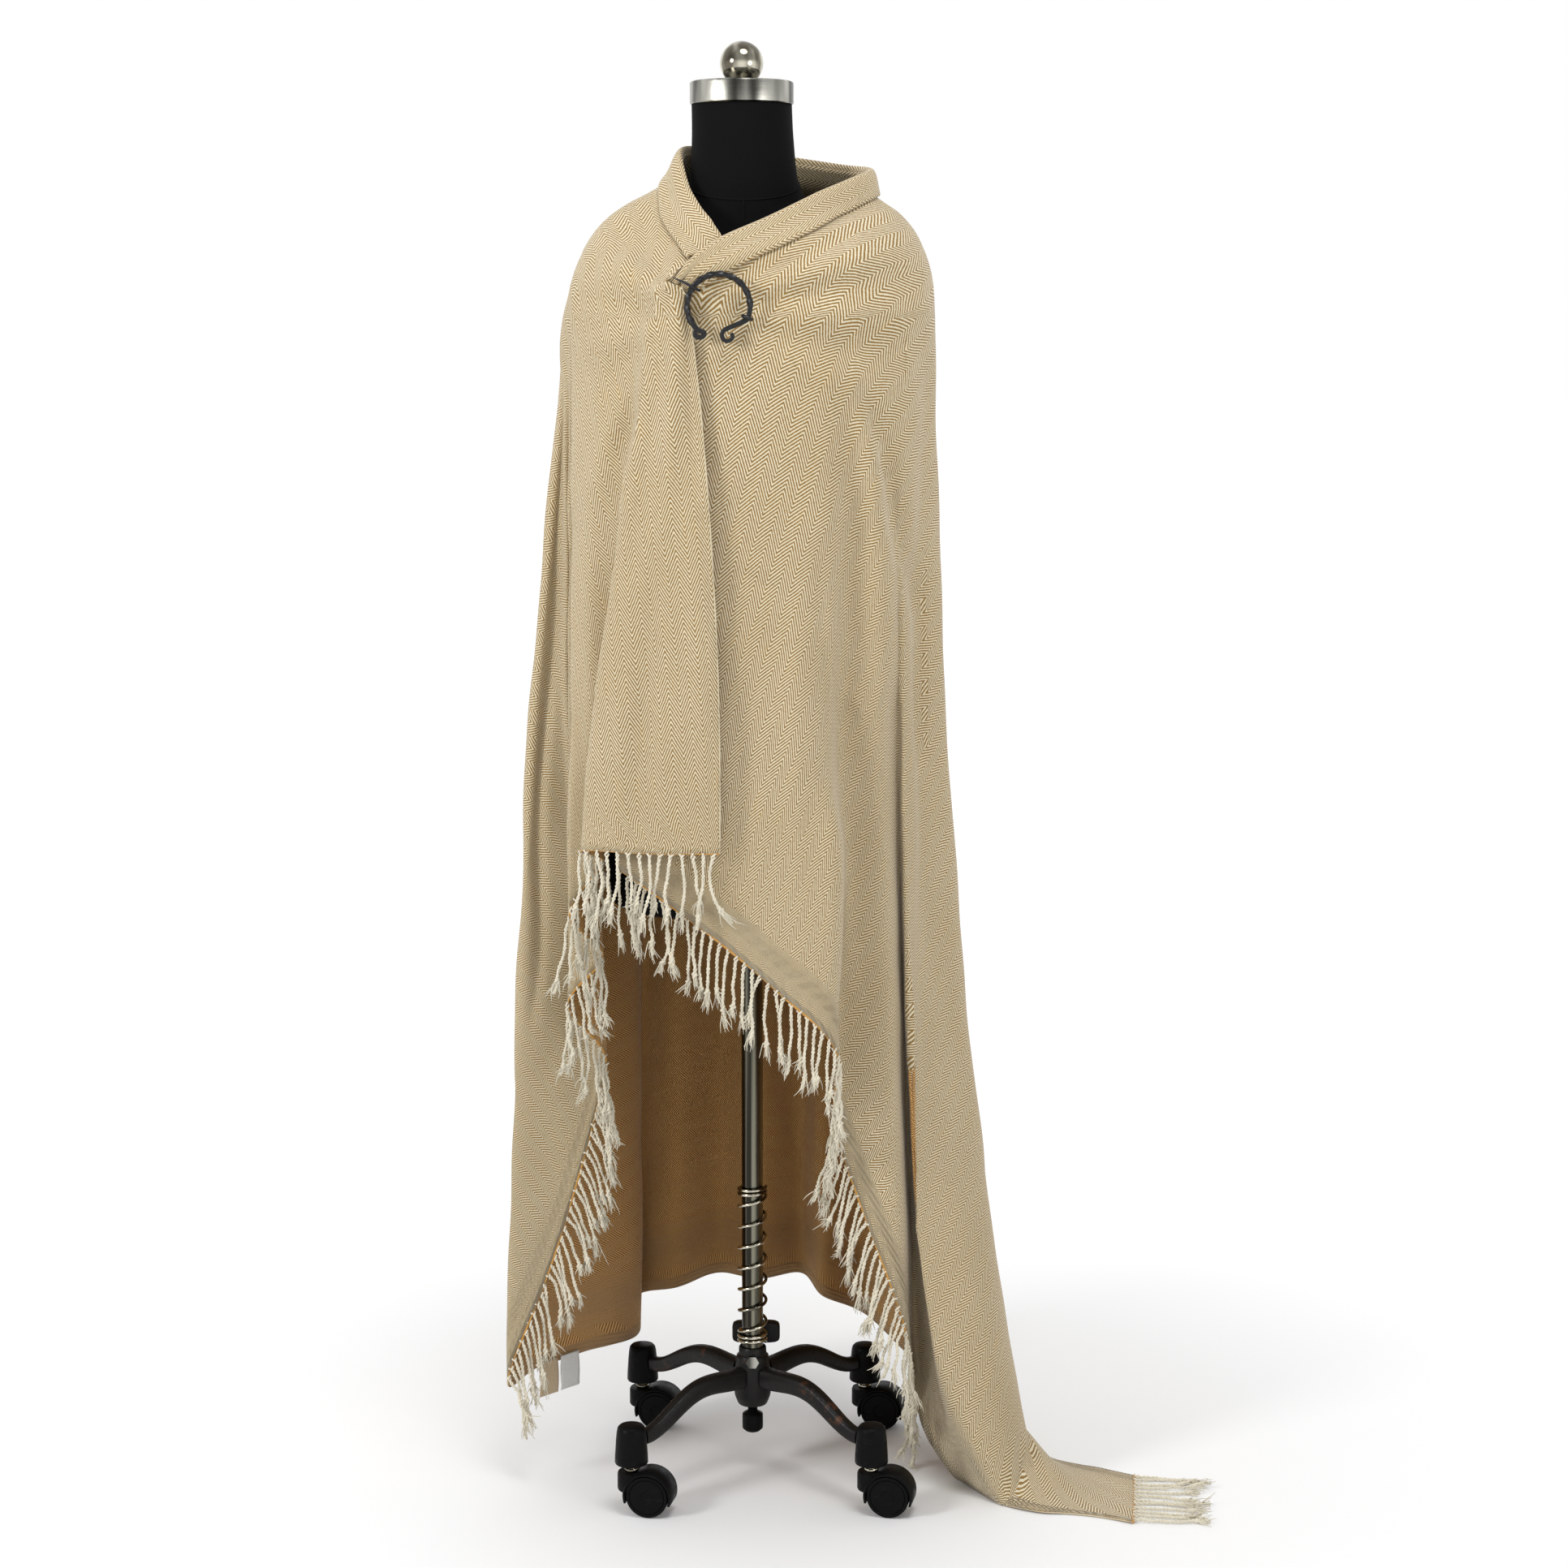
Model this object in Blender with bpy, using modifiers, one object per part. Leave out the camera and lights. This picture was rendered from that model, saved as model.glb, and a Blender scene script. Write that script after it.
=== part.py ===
"""A herringbone shawl worn as a cape on a limbless dress form with a wheeled stand.

Metres, +Z up, floor at z = 0. X runs to the viewer's right and the front faces -Y.
The shapes are worked out about the pole's axis, then moved so that the origin is
under the middle of the whole object.
"""

import math

import bmesh
import bpy
from mathutils import Vector

TAU = 2 * math.pi

# Cloth
WALL = 0.0026  # thickness of the woven cloth with its nap
SEAM = 0.0006  # space left between neighbouring stretches of cloth
RING_Z = 1.380  # height where the cloth leaves the shoulders and starts to hang
RING_RX = 0.209
RING_RY = 0.145
RING_Y = -0.005
SHOULDER_LEVELS = 6
DROP_LEVELS = 9
BETWEEN_FOLDS = 2

# Collar: how deep the band is that is folded out, and its way down and out from the cloth
COLLAR_DEPTH = 0.042
COLLAR_PROFILE = ((0.0, 0.0036), (0.18, 0.0082), (0.65, 0.0086), (1.0, 0.0042))
COLLAR_WIDTHS = (
    # place along the neckline, share of the full depth
    (2.5, 1.0),
    (8.0, 1.0),
    (9.4, 0.8),
    (10.2, 0.66),
    (11.0, 0.7),
    (12.5, 0.9),
    (15.0, 0.9),
)

# Train: how far across and how high the point lies between its crown and its front edge
TRAIN_SIDE_AT = 0.55
TRAIN_SIDE_HEIGHT = 0.6

# Fringe
CORD_LENGTH = 0.075
CORD_PITCH = 0.012
CORD_WIDTH = 0.0040
KNOT_WIDTH = 0.0055
BACKING_DEPTH = 0.004
BACKING_GAP = 0.0015  # between the strip and the cloth's edge
FLOOR_SPACE = 0.004  # how far above the floor a cord ends
CORD_SPREAD = 0.10  # how much the cords' lengths differ
CORD_SWAY = 0.0015
SHORTEST_CORD = 0.006
FLOOR_GAP = 0.0005  # under a cord that lies on the floor
LEAST_ANGLE = math.radians(33)  # between a cord and a steep edge

# Labels
LABEL_WIDTH = 0.034
LABEL_HEIGHT = 0.044
LABEL_THICKNESS = 0.001
LABEL_INSET = 0.0034
LABEL_TUCK = 0.006
LABELS = (("label-tan", "tan label", 0.018), ("label-white", "white label", 0.058))

# Brooch: its ring's two legs and its pin, about the ring's middle
BROOCH_PLACE = (-0.0335, -0.1620, 1.3925)
BROOCH_RADIUS = 0.0345
BROOCH_WIRE = 0.0033
BROOCH_STEPS = 20
LEG_TAPER = 0.5  # of the wire at the end of a leg
PIN_WIRE = 0.0016
PIN_RADII = (0.3, 0.8, 1, 1, 1, 0.8)
EYE_WIRE = 0.0022
EYE_TURN = 68  # degrees round the ring from its gap
EYE_OPENING = 80  # degrees of the eye left open
EYE_STEPS = 8
RING_SPACE = 0.0006  # between the eye and the ring
LEFT_LEG = (
    (-0.0225, -0.0262),
    (-0.0174, -0.0278),
    (-0.0157, -0.0302),
    (-0.0180, -0.0332),
    (-0.0220, -0.0337),
    (-0.0254, -0.0318),
    (-0.0257, -0.0287),
)
RIGHT_LEG = (
    (0.0332, -0.0100),
    (0.0305, -0.0150),
    (0.0206, -0.0197),
    (0.0125, -0.0231),
    (0.0056, -0.0266),
    (0.0037, -0.0312),
    (0.0051, -0.0358),
    (0.0091, -0.0381),
    (0.0137, -0.0363),
    (0.0154, -0.0329),
)
# The pin's tip leaves the cloth, passes over the ring and goes in again
PIN_TIP = (
    (-0.0500, 0.0030, 0.0310),
    (-0.0420, -0.0010, 0.0272),
    (-0.0360, -0.0050, 0.0247),
    (-0.0290, -0.0058, 0.0210),
    (-0.0247, -0.0045, 0.0185),
    (-0.0205, 0.0000, 0.0165),
)

# Stand: its pole, spring, hub, knob, bolt and pedal
STAND_GAP = 0.0006  # between parts that are fastened together
POLE_RADIUS = 0.0127
POLE_BOTTOM = 0.1535
POLE_TOP = 0.6915
SPRING_BOTTOM = 0.156
SPRING_TOP = 0.354
SPRING_WIRE = 0.002
SPRING_REACH = 0.0163
SPRING_SIDES = 7
SPRING_RUNS = ((2.5, 0.005), (6.5, 0.024), (2, 0.005))  # turns, rise of each turn
HUB_BOTTOM = 0.081
HUB_TOP = 0.153
HUB_RADIUS = 0.022
HUB_NECK = 0.0165
HUB_SHOULDER = 0.0198
HUB_FOOT = 0.0176
KNOB_BOTTOM = 0.046
KNOB_TOP = 0.068
KNOB_RADIUS = 0.0125
KNOB_FOOT_RADIUS = 0.009
KNOB_BEVEL = 0.004
KNOB_SCREW_RADIUS = 0.006
BOLT_RADIUS = 0.008
BOLT_HEIGHT = 0.006
BOLT_Z = 0.139
PEDAL_SIZE = (0.058, 0.014, 0.026)
PEDAL_X = 0.004
PEDAL_Z = 0.161

# Stand: its legs, hoods and casters
CASTER_REACH = 0.14  # a caster's stem lies this far along X and along Y
CASTER_TURN = math.radians(-12)
LEG_RADIUS = 0.0105
LEG_STEPS = 6
LEG_START_Z = 0.118
LEG_RISE = 0.016
LEG_FALL = 0.032
LEG_THICK = 1.25  # of the leg's radius at the hub
LEG_THIN = 0.85  # and at the hood
HOOD_BOTTOM = 0.060
HOOD_TOP = 0.106
HOOD_RADIUS = 0.0195
HOOD_TAPER = 0.85
WHEEL_RADIUS = 0.025
WHEEL_OFFSET = 0.022
WHEEL_OUTSIDE = 0.018
WHEEL_INSIDE = 0.0052
WHEEL_BEVEL = 0.002
WHEEL_ROOM = 0.0262
WHEEL_ROOM_SIDE = 0.0048
AXLE_RADIUS = 0.004
AXLE_ROOM = 0.0046
FENDER_RADIUS = 0.0288
FENDER_WIDTH = 0.036
FENDER_FOOT = 0.016  # height where the fender is open below
BOSS_RADIUS = 0.0165
BOSS_HEIGHT = 0.024
BOSS_Z = 0.038
STEM_RADIUS = 0.0055
STEM_HEIGHT = 0.012
STEM_Z = 0.0537
CASTERS = (
    # name, side, way back
    ("front-left", -1, -1),
    ("front-right", 1, -1),
    ("rear-left", -1, 1),
    ("rear-right", 1, 1),
)

# Dress form
FORM_SIDES = 22
FORM_TOP = 1.6195
FORM_LEAN = -0.010
FORM_LEAN_FROM = 1.25
CAP_BOTTOM = 1.6199
CAP_TOP = 1.6450
CAP_RADIUS = 0.059
CAP_BEVEL = 0.002
BALL_CENTRE = 1.6655
BALL_RADIUS = 0.0247
BALL_STEPS = 8
BALL_GAP = 0.0004

# The top edge of the cloth, from the pinned end of the flap round the neck
# to the other pinned end: x, y, z
NECKLINE = (
    (-0.074, -0.154, 1.414),
    (-0.088, -0.151, 1.425),
    (-0.040, -0.106, 1.464),
    (-0.052, -0.084, 1.490),
    (-0.070, -0.045, 1.522),
    (-0.075, 0.005, 1.562),
    (-0.050, 0.056, 1.568),
    (0.000, 0.076, 1.565),
    (0.052, 0.070, 1.558),
    (0.105, 0.035, 1.548),
    (0.130, -0.012, 1.542),
    (0.112, -0.048, 1.530),
    (0.074, -0.078, 1.512),
    (0.032, -0.102, 1.490),
    (-0.034, -0.128, 1.461),
    (-0.066, -0.139, 1.440),
)

# From the neckline to the hanging ring: share of the way across, share of the drop left
SHOULDER = ((0, 1), (0.10, 0.86), (0.28, 0.79), (0.52, 0.71), (0.76, 0.57), (0.94, 0.31), (1, 0))

# A row for each fold line, from the flap's selvedge round the back to the hidden end.
# neck: place along NECKLINE; turn: degrees round from the front, to the viewer's left;
# out: how far outside the ring it hangs; foot: where it ends; power and bow: how
# late or early it spreads on its way down
FOLDS = (
    # name, neck, turn, out, foot x, foot y, foot z, power, bow
    ("flap selvedge", 0.0, 17, 0.012, -0.034, -0.173, 0.787, 1.0, 1.3),
    ("flap middle", 0.5, 22, 0.014, -0.112, -0.172, 0.787, 1.0, 0.7),
    ("flap fold", 1.0, 28, 0.012, -0.190, -0.158, 0.788, 1.0, 0.35),
    ("flap valley", 1.9, 37, 0.0, -0.168, -0.112, 0.768, 1.0, 0.0),
    ("left panel", 2.5, 54, 0.0, -0.192, -0.106, 0.735, 1.0, 0.0),
    ("left ridge", 3.2, 72, 0.0, -0.208, -0.106, 0.700, 1.0, 0.0),
    ("pleat valley one", 3.6, 77, 0.0, -0.172, -0.082, 0.650, 1.5, 0.0),
    ("pleat ridge one", 3.9, 80, 0.0, -0.213, -0.066, 0.590, 1.0, 0.0),
    ("pleat valley two", 4.2, 83, 0.0, -0.172, -0.042, 0.520, 1.5, 0.0),
    ("pleat ridge two", 4.4, 86, 0.0, -0.190, -0.020, 0.430, 1.0, 0.0),
    ("left slope", 4.6, 90, 0.0, -0.238, -0.030, 0.270, 1.0, 0.5),
    ("left corner", 4.8, 95, 0.0, -0.293, -0.045, 0.125, 1.0, 0.6),
    ("left side", 5.1, 106, 0.0, -0.262, 0.020, 0.118, 1.0, 0.4),
    ("left back", 5.5, 121, 0.0, -0.205, 0.100, 0.112, 1.0, 0.3),
    ("left back valley", 5.9, 137, 0.0, -0.146, 0.180, 0.106, 1.0, 0.2),
    ("back ridge one", 6.2, 148, 0.0, -0.150, 0.229, 0.140, 1.0, 0.3),
    ("back valley one", 6.5, 159, 0.0, -0.100, 0.201, 0.160, 1.0, 0.2),
    ("back ridge two", 6.8, 169, 0.0, -0.045, 0.237, 0.168, 1.0, 0.3),
    ("back valley two", 7.1, 180, 0.0, 0.008, 0.207, 0.170, 1.0, 0.2),
    ("back ridge three", 7.5, 192, 0.0, 0.060, 0.237, 0.168, 1.0, 0.3),
    ("back valley three", 7.9, 204, 0.0, 0.088, 0.198, 0.150, 1.0, 0.2),
    ("back ridge four", 8.4, 216, 0.0, 0.145, 0.227, 0.115, 1.0, 0.3),
    ("right back valley", 8.9, 231, 0.0, 0.205, 0.166, 0.075, 1.2, 0.1),
    ("right rear", 9.4, 249, 0.0, 0.295, 0.065, 0.030, 1.8, 0.0),
    ("right side", 9.9, 270, 0.0, 0.328, -0.030, 0.060, 2.1, 0.0),
    ("right front", 10.2, 285, 0.0, 0.318, -0.090, 0.036, 3.5, 0.0),
    ("train fold", 10.5, 297, 0.0, 0.293, -0.122, 0.0013, 8.0, 0.0),
    ("recess", 10.8, 304, 0.0, 0.245, -0.040, 0.0013, 4.0, 0.0),
    ("deep valley", 11.1, 311, 0.0, 0.200, 0.000, 0.070, 1.5, 0.0),
    ("outer ridge", 11.6, 322, 0.0, 0.177, -0.085, 0.215, 1.0, 0.0),
    ("middle valley", 12.0, 327, 0.0, 0.100, -0.090, 0.440, 1.0, 0.0),
    ("inner ridge", 12.5, 337, 0.0, 0.097, -0.155, 0.555, 1.0, 0.0),
    ("centre right", 13.2, 350, 0.0, 0.033, -0.160, 0.624, 1.0, 0.0),
    ("centre", 13.9, 364, 0.0, -0.038, -0.159, 0.685, 1.0, 0.0),
    ("centre left", 14.5, 375, 0.0, -0.100, -0.153, 0.731, 1.0, 0.0),
    ("hidden end", 15.0, 382, 0.0, -0.152, -0.138, 0.765, 1.0, 0.0),
)

# The stretches of the cloth, each between two of its fold lines
STRETCHES = (
    # name, first fold, last fold
    ("cape-flap", "flap selvedge", "flap fold"),
    ("cape-left-front", "flap fold", "left corner"),
    ("cape-left-back", "left corner", "back ridge two"),
    ("cape-right-back", "back ridge two", "right rear"),
    ("cape-right-side", "right rear", "deep valley"),
    ("cape-right-front", "deep valley", "hidden end"),
)

# The fringed edges, each between two fold lines
FRINGES = (
    # name, first fold, last fold
    ("fringe-flap", "flap selvedge", "flap fold"),
    ("fringe-left-pleats", "flap fold", "pleat ridge two"),
    ("fringe-left-slope", "pleat ridge two", "left corner"),
    ("fringe-right-fall", "deep valley", "outer ridge"),
    ("fringe-right-slope", "outer ridge", "centre right"),
    ("fringe-centre", "centre right", "hidden end"),
)

# The train on the floor, a row for each section across it, from the wall to the tip
TRAIN = (
    # front x, front y, crown x, crown y, crown z, rear x, rear y, rear z
    (0.293, -0.122, 0.328, -0.030, 0.0600, 0.295, 0.065, 0.0300),
    (0.335, -0.146, 0.362, -0.055, 0.0260, 0.350, 0.030, 0.0060),
    (0.372, -0.150, 0.388, -0.070, 0.0090, 0.390, 0.005, 0.0013),
    (0.408, -0.160, 0.418, -0.082, 0.0013, 0.424, -0.012, 0.0013),
    (0.442, -0.178, 0.452, -0.104, 0.0013, 0.460, -0.034, 0.0013),
)

# The dress form, a row for each section: height, half width, depth to the front, to the back
FORM = (
    (0.692, 0.060, 0.050, 0.050),
    (0.694, 0.150, 0.098, 0.104),
    (0.712, 0.168, 0.108, 0.116),
    (0.800, 0.176, 0.112, 0.124),
    (0.900, 0.166, 0.106, 0.116),
    (1.040, 0.128, 0.092, 0.090),
    (1.150, 0.142, 0.108, 0.096),
    (1.250, 0.163, 0.122, 0.106),
    (1.330, 0.182, 0.118, 0.108),
    (1.385, 0.194, 0.104, 0.102),
    (1.425, 0.189, 0.090, 0.094),
    (1.453, 0.172, 0.076, 0.086),
    (1.474, 0.140, 0.066, 0.078),
    (1.490, 0.102, 0.061, 0.070),
    (1.506, 0.074, 0.060, 0.064),
    (1.534, 0.062, 0.060, 0.060),
    (1.580, 0.058, 0.058, 0.058),
    (1.6195, 0.057, 0.057, 0.057),
)

COLOURS = {
    # name: red, green, blue, roughness, metallic
    "cloth": (0.80, 0.66, 0.45, 0.85, 0.0),
    "fringe": (0.86, 0.82, 0.72, 0.9, 0.0),
    "jersey": (0.012, 0.012, 0.014, 0.8, 0.0),
    "chrome": (0.62, 0.60, 0.57, 0.18, 1.0),
    "brushed steel": (0.55, 0.54, 0.52, 0.35, 1.0),
    "black enamel": (0.02, 0.02, 0.02, 0.5, 0.0),
    "black plastic": (0.015, 0.015, 0.017, 0.4, 0.0),
    "forged steel": (0.03, 0.03, 0.035, 0.45, 0.8),
    "tan label": (0.62, 0.52, 0.38, 0.8, 0.0),
    "white label": (0.80, 0.80, 0.78, 0.8, 0.0),
}

NAMES = [fold[0] for fold in FOLDS]


def smooth_through(points, at):
    """The place on a smooth curve through the points, at a whole or part number of steps."""
    last = len(points) - 1
    start = min(int(at), last - 1)
    share = at - start
    before, here, after, beyond = (
        points[min(max(start + step, 0), last)] for step in (-1, 0, 1, 2)
    )
    run_in = [(b - a) / 2 for a, b in zip(before, after)]
    run_out = [(b - a) / 2 for a, b in zip(here, beyond)]
    square, cube = share**2, share**3
    weights = (2 * cube - 3 * square + 1, cube - 2 * square + share)
    weights += (3 * square - 2 * cube, cube - square)
    return Vector(
        sum(weight * value for weight, value in zip(weights, values))
        for values in zip(here, run_in, after, run_out)
    )


def ring_point(turn, out):
    angle = math.radians(turn)
    return Vector(
        (
            -(RING_RX + out) * math.sin(angle),
            RING_Y - (RING_RY + out) * math.cos(angle),
            RING_Z,
        )
    )


def fold_line(fold):
    """One fold line's points, from the neckline over the shoulder and down to its foot."""
    _, neck, turn, out, *foot, power, bow = fold
    top = smooth_through(NECKLINE, neck)
    ring = ring_point(turn, out)
    foot = Vector(foot)
    line = []
    for level in range(SHOULDER_LEVELS):
        across, up = smooth_through(SHOULDER, level * (len(SHOULDER) - 1) / SHOULDER_LEVELS)
        point = top.lerp(ring, across)
        point.z = ring.z + (top.z - ring.z) * up
        line.append(point)
    for level in range(DROP_LEVELS + 1):
        share = level / DROP_LEVELS
        point = ring.lerp(foot, share**power * (1 + bow * (1 - share)))
        point.z = ring.z + (foot.z - ring.z) * share
        line.append(point)
    return line


def sheet_grid():
    """Columns of points over the whole cloth, each from the neckline down to the hem."""
    lines = [fold_line(fold) for fold in FOLDS]
    steps = BETWEEN_FOLDS * (len(FOLDS) - 1)
    columns = []
    for step in range(steps + 1):
        at = step / BETWEEN_FOLDS
        columns.append(
            [smooth_through([line[level] for line in lines], at) for level in range(len(lines[0]))]
        )
    for column in columns:
        for point in column:
            point.z = max(point.z, WALL / 2)
    return columns


def normals_of(columns):
    """Outward unit normals of a grid of points."""
    normals = []
    last, bottom = len(columns) - 1, len(columns[0]) - 1
    for i in range(last + 1):
        row = []
        for j in range(bottom + 1):
            along = columns[min(i + 1, last)][j] - columns[max(i - 1, 0)][j]
            down = columns[i][min(j + 1, bottom)] - columns[i][max(j - 1, 0)]
            row.append(along.cross(down).normalized())
        normals.append(row)
    return normals


def material(name):
    made = bpy.data.materials.get(name)
    if made:
        return made
    made = bpy.data.materials.new(name)
    made.use_nodes = True
    shader = made.node_tree.nodes["Principled BSDF"]
    red, green, blue, roughness, metallic = COLOURS[name]
    shader.inputs["Base Color"].default_value = (red, green, blue, 1)
    shader.inputs["Roughness"].default_value = roughness
    shader.inputs["Metallic"].default_value = metallic
    made.diffuse_color = (red, green, blue, 1)
    return made


def add_object(name, data, colour, parent, place=(0, 0, 0)):
    made = bpy.data.objects.new(name, data)
    made.location = place
    made.parent = parent
    if not data.materials:
        data.materials.append(material(colour))
    collection.objects.link(made)
    return made


def mesh_from(name, shape):
    bmesh.ops.recalc_face_normals(shape, faces=shape.faces)
    mesh = bpy.data.meshes.new(name)
    shape.to_mesh(mesh)
    shape.free()
    mesh.shade_smooth()
    mesh.set_sharp_from_angle(angle=math.radians(50))
    return mesh


def closed_wall(name, outer, inner, colour, parent):
    """A closed wall between two grids of points of the same size."""
    shape = bmesh.new()
    last, bottom = len(outer) - 1, len(outer[0]) - 1
    skins = [[[shape.verts.new(p) for p in column] for column in grid] for grid in (outer, inner)]
    for skin in skins:
        for i in range(last):
            for j in range(bottom):
                corners = (skin[i][j], skin[i][j + 1], skin[i + 1][j + 1], skin[i + 1][j])
                shape.faces.new(corners)
    rim = [(i, 0) for i in range(last)] + [(last, j) for j in range(bottom)]
    rim += [(i, bottom) for i in range(last, 0, -1)] + [(0, j) for j in range(bottom, 0, -1)]
    for (i, j), (k, m) in zip(rim, rim[1:] + rim[:1]):
        shape.faces.new((skins[0][i][j], skins[0][k][m], skins[1][k][m], skins[1][i][j]))
    return add_object(name, mesh_from(name, shape), colour, parent)


def moved_in(columns, gap):
    """The same columns, with the first and last drawn in from their neighbours' side."""
    trimmed = [[point.copy() for point in column] for column in columns]
    for end, beside in ((0, 1), (-1, -2)):
        for point, towards in zip(trimmed[end], columns[beside]):
            point += (towards - point).normalized() * gap
    return trimmed


def cloth_wall(name, columns, normals, parent, out=0.0):
    columns = moved_in(columns, SEAM / 2)
    skins = []
    for side in (WALL / 2, -WALL / 2):
        skins.append(
            [
                [point + normal * (out + side) for point, normal in zip(*pair)]
                for pair in zip(columns, normals)
            ]
        )
    for skin in skins:
        for column in skin:
            for point in column:
                point.z = max(point.z, 0.0)
    return closed_wall(name, *skins, "cloth", parent)


def stretch_span(first, last):
    """The columns between two fold lines."""
    return slice(NAMES.index(first) * BETWEEN_FOLDS, NAMES.index(last) * BETWEEN_FOLDS + 1)


def make_stretches(columns, normals, parent):
    for name, first, last in STRETCHES:
        span = stretch_span(first, last)
        cloth_wall(name, columns[span], normals[span], parent)


def train_grid(columns):
    """The train's columns, which go on from the feet of the wall's own columns."""
    first = NAMES.index("right rear") * BETWEEN_FOLDS
    last = NAMES.index("train fold") * BETWEEN_FOLDS
    train = [[columns[at][-1].copy()] for at in range(first, last + 1)]
    for step in range(1, BETWEEN_FOLDS * (len(TRAIN) - 1) + 1):
        section = smooth_through(TRAIN, step / BETWEEN_FOLDS)
        front = Vector((section[0], section[1], WALL / 2))
        crown = Vector(section[2:5])
        rear = Vector(section[5:8])
        side = crown.lerp(front, TRAIN_SIDE_AT)
        side.z = max(crown.z * TRAIN_SIDE_HEIGHT, WALL / 2)
        for at, column in enumerate(train):
            point = smooth_through((rear, crown, side, front), at / BETWEEN_FOLDS)
            point.z = max(point.z, WALL / 2)
            column.append(point)
    return first, train


def walked(column, distance):
    """The place this far down a column of points."""
    for here, beyond in zip(column, column[1:]):
        step = (beyond - here).length
        if distance <= step:
            return here.lerp(beyond, distance / step)
        distance -= step
    return column[-1].copy()


def column_at(neck):
    """The column whose fold lies nearest this place along the neckline."""
    necks = [fold[1] for fold in FOLDS]
    nearest = min(range(len(necks)), key=lambda at: abs(necks[at] - neck))
    return nearest * BETWEEN_FOLDS


def neck_of(column):
    """A column's place along the neckline."""
    fold, step = divmod(column, BETWEEN_FOLDS)
    after = min(fold + 1, len(FOLDS) - 1)
    return FOLDS[fold][1] + (FOLDS[after][1] - FOLDS[fold][1]) * step / BETWEEN_FOLDS


def collar_width(neck):
    """The share of its full depth that the collar has at this place along the neckline."""
    for (here, width), (beyond, next_width) in zip(COLLAR_WIDTHS, COLLAR_WIDTHS[1:]):
        if neck <= beyond:
            return width + (next_width - width) * (neck - here) / (beyond - here)
    return COLLAR_WIDTHS[-1][1]


def collar_band(name, columns, normals, first_neck, last_neck, parent, run_on=()):
    """A band of the top edge folded out: the cloth's own points, moved out."""
    first, last = column_at(first_neck), column_at(last_neck)
    band = []
    for at in range(first, last + 1):
        out = normals[at][1]
        depth = COLLAR_DEPTH * collar_width(neck_of(at))
        band.append([walked(columns[at], depth * down) + out * lift for down, lift in COLLAR_PROFILE])
    for end, length in run_on:
        beside = 1 if end == 0 else -2
        grown = [
            here + (here - other).normalized() * length
            for here, other in zip(band[end], band[beside])
        ]
        band.insert(0 if end == 0 else len(band), grown)
    cloth_wall(name, band, normals_of(band), parent)


def edge_stations(columns, normals):
    """The lower edge of these columns: place, way off the edge, way out and way along."""
    last = len(columns) - 1
    edge = []
    for at, (column, out) in enumerate(zip(columns, normals)):
        along = columns[min(at + 1, last)][-1] - columns[max(at - 1, 0)][-1]
        along.normalize()
        away = column[-1] - column[-2]
        away = (away - along * away.dot(along)).normalized()
        edge.append((column[-1], away, out[-1], along))
    return edge


def edge_place(edge, distance):
    """What edge_stations holds, at this distance along the edge."""
    for here, beyond in zip(edge, edge[1:]):
        step = (beyond[0] - here[0]).length
        if distance <= step:
            share = distance / step
            point = here[0].lerp(beyond[0], share)
            ways = [a.lerp(b, share).normalized() for a, b in zip(here[1:], beyond[1:])]
            return (point, *ways)
        distance -= step
    return edge[-1]


def hanging_way(away, along):
    """Straight down, or as near to it as leaves the cords of a steep edge apart."""
    gravity = Vector((0, 0, -1))
    share = gravity.dot(along)
    if abs(share) < math.cos(LEAST_ANGLE):
        return gravity
    lengthwise = along * math.copysign(math.cos(LEAST_ANGLE), share)
    return (lengthwise + away * math.sin(LEAST_ANGLE)).normalized()


def fringe(name, edge, parent, lies=False):
    """A narrow strip under the cloth's edge, with each cord drawn out of its underside."""
    length = sum((b[0] - a[0]).length for a, b in zip(edge, edge[1:]))
    count = round(length / CORD_PITCH)
    pitch = length / count
    marks = [SEAM]
    for cord in range(count):
        middle = (cord + 0.5) * pitch
        marks += [middle - CORD_WIDTH / 2, middle + CORD_WIDTH / 2]
    marks.append(length - SEAM)
    shape = bmesh.new()
    rings = []
    for mark in marks:
        point, away, out, _ = edge_place(edge, mark)
        top = point + away * BACKING_GAP
        bottom = top + away * BACKING_DEPTH
        ring = [top + out * WALL / 2, top - out * WALL / 2]
        ring += [bottom - out * WALL / 2, bottom + out * WALL / 2]
        for corner in ring:
            corner.z = max(corner.z, 0.0)
        rings.append([shape.verts.new(corner) for corner in ring])
    for at, (here, beyond) in enumerate(zip(rings, rings[1:])):
        for side in range(4):
            if side == 2 and at % 2 == 1:
                continue
            turn = (side + 1) % 4
            shape.faces.new((here[side], beyond[side], beyond[turn], here[turn]))
        if at % 2 == 1:
            cord = at // 2
            root = [here[2], beyond[2], beyond[3], here[3]]
            _, away, _, along = edge_place(edge, (marks[at] + marks[at + 1]) / 2)
            draw_cord(shape, root, away if lies else hanging_way(away, along), cord, lies)
    shape.faces.new(rings[0])
    shape.faces.new(list(reversed(rings[-1])))
    return add_object(name, mesh_from(name, shape), "fringe", parent)


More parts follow.
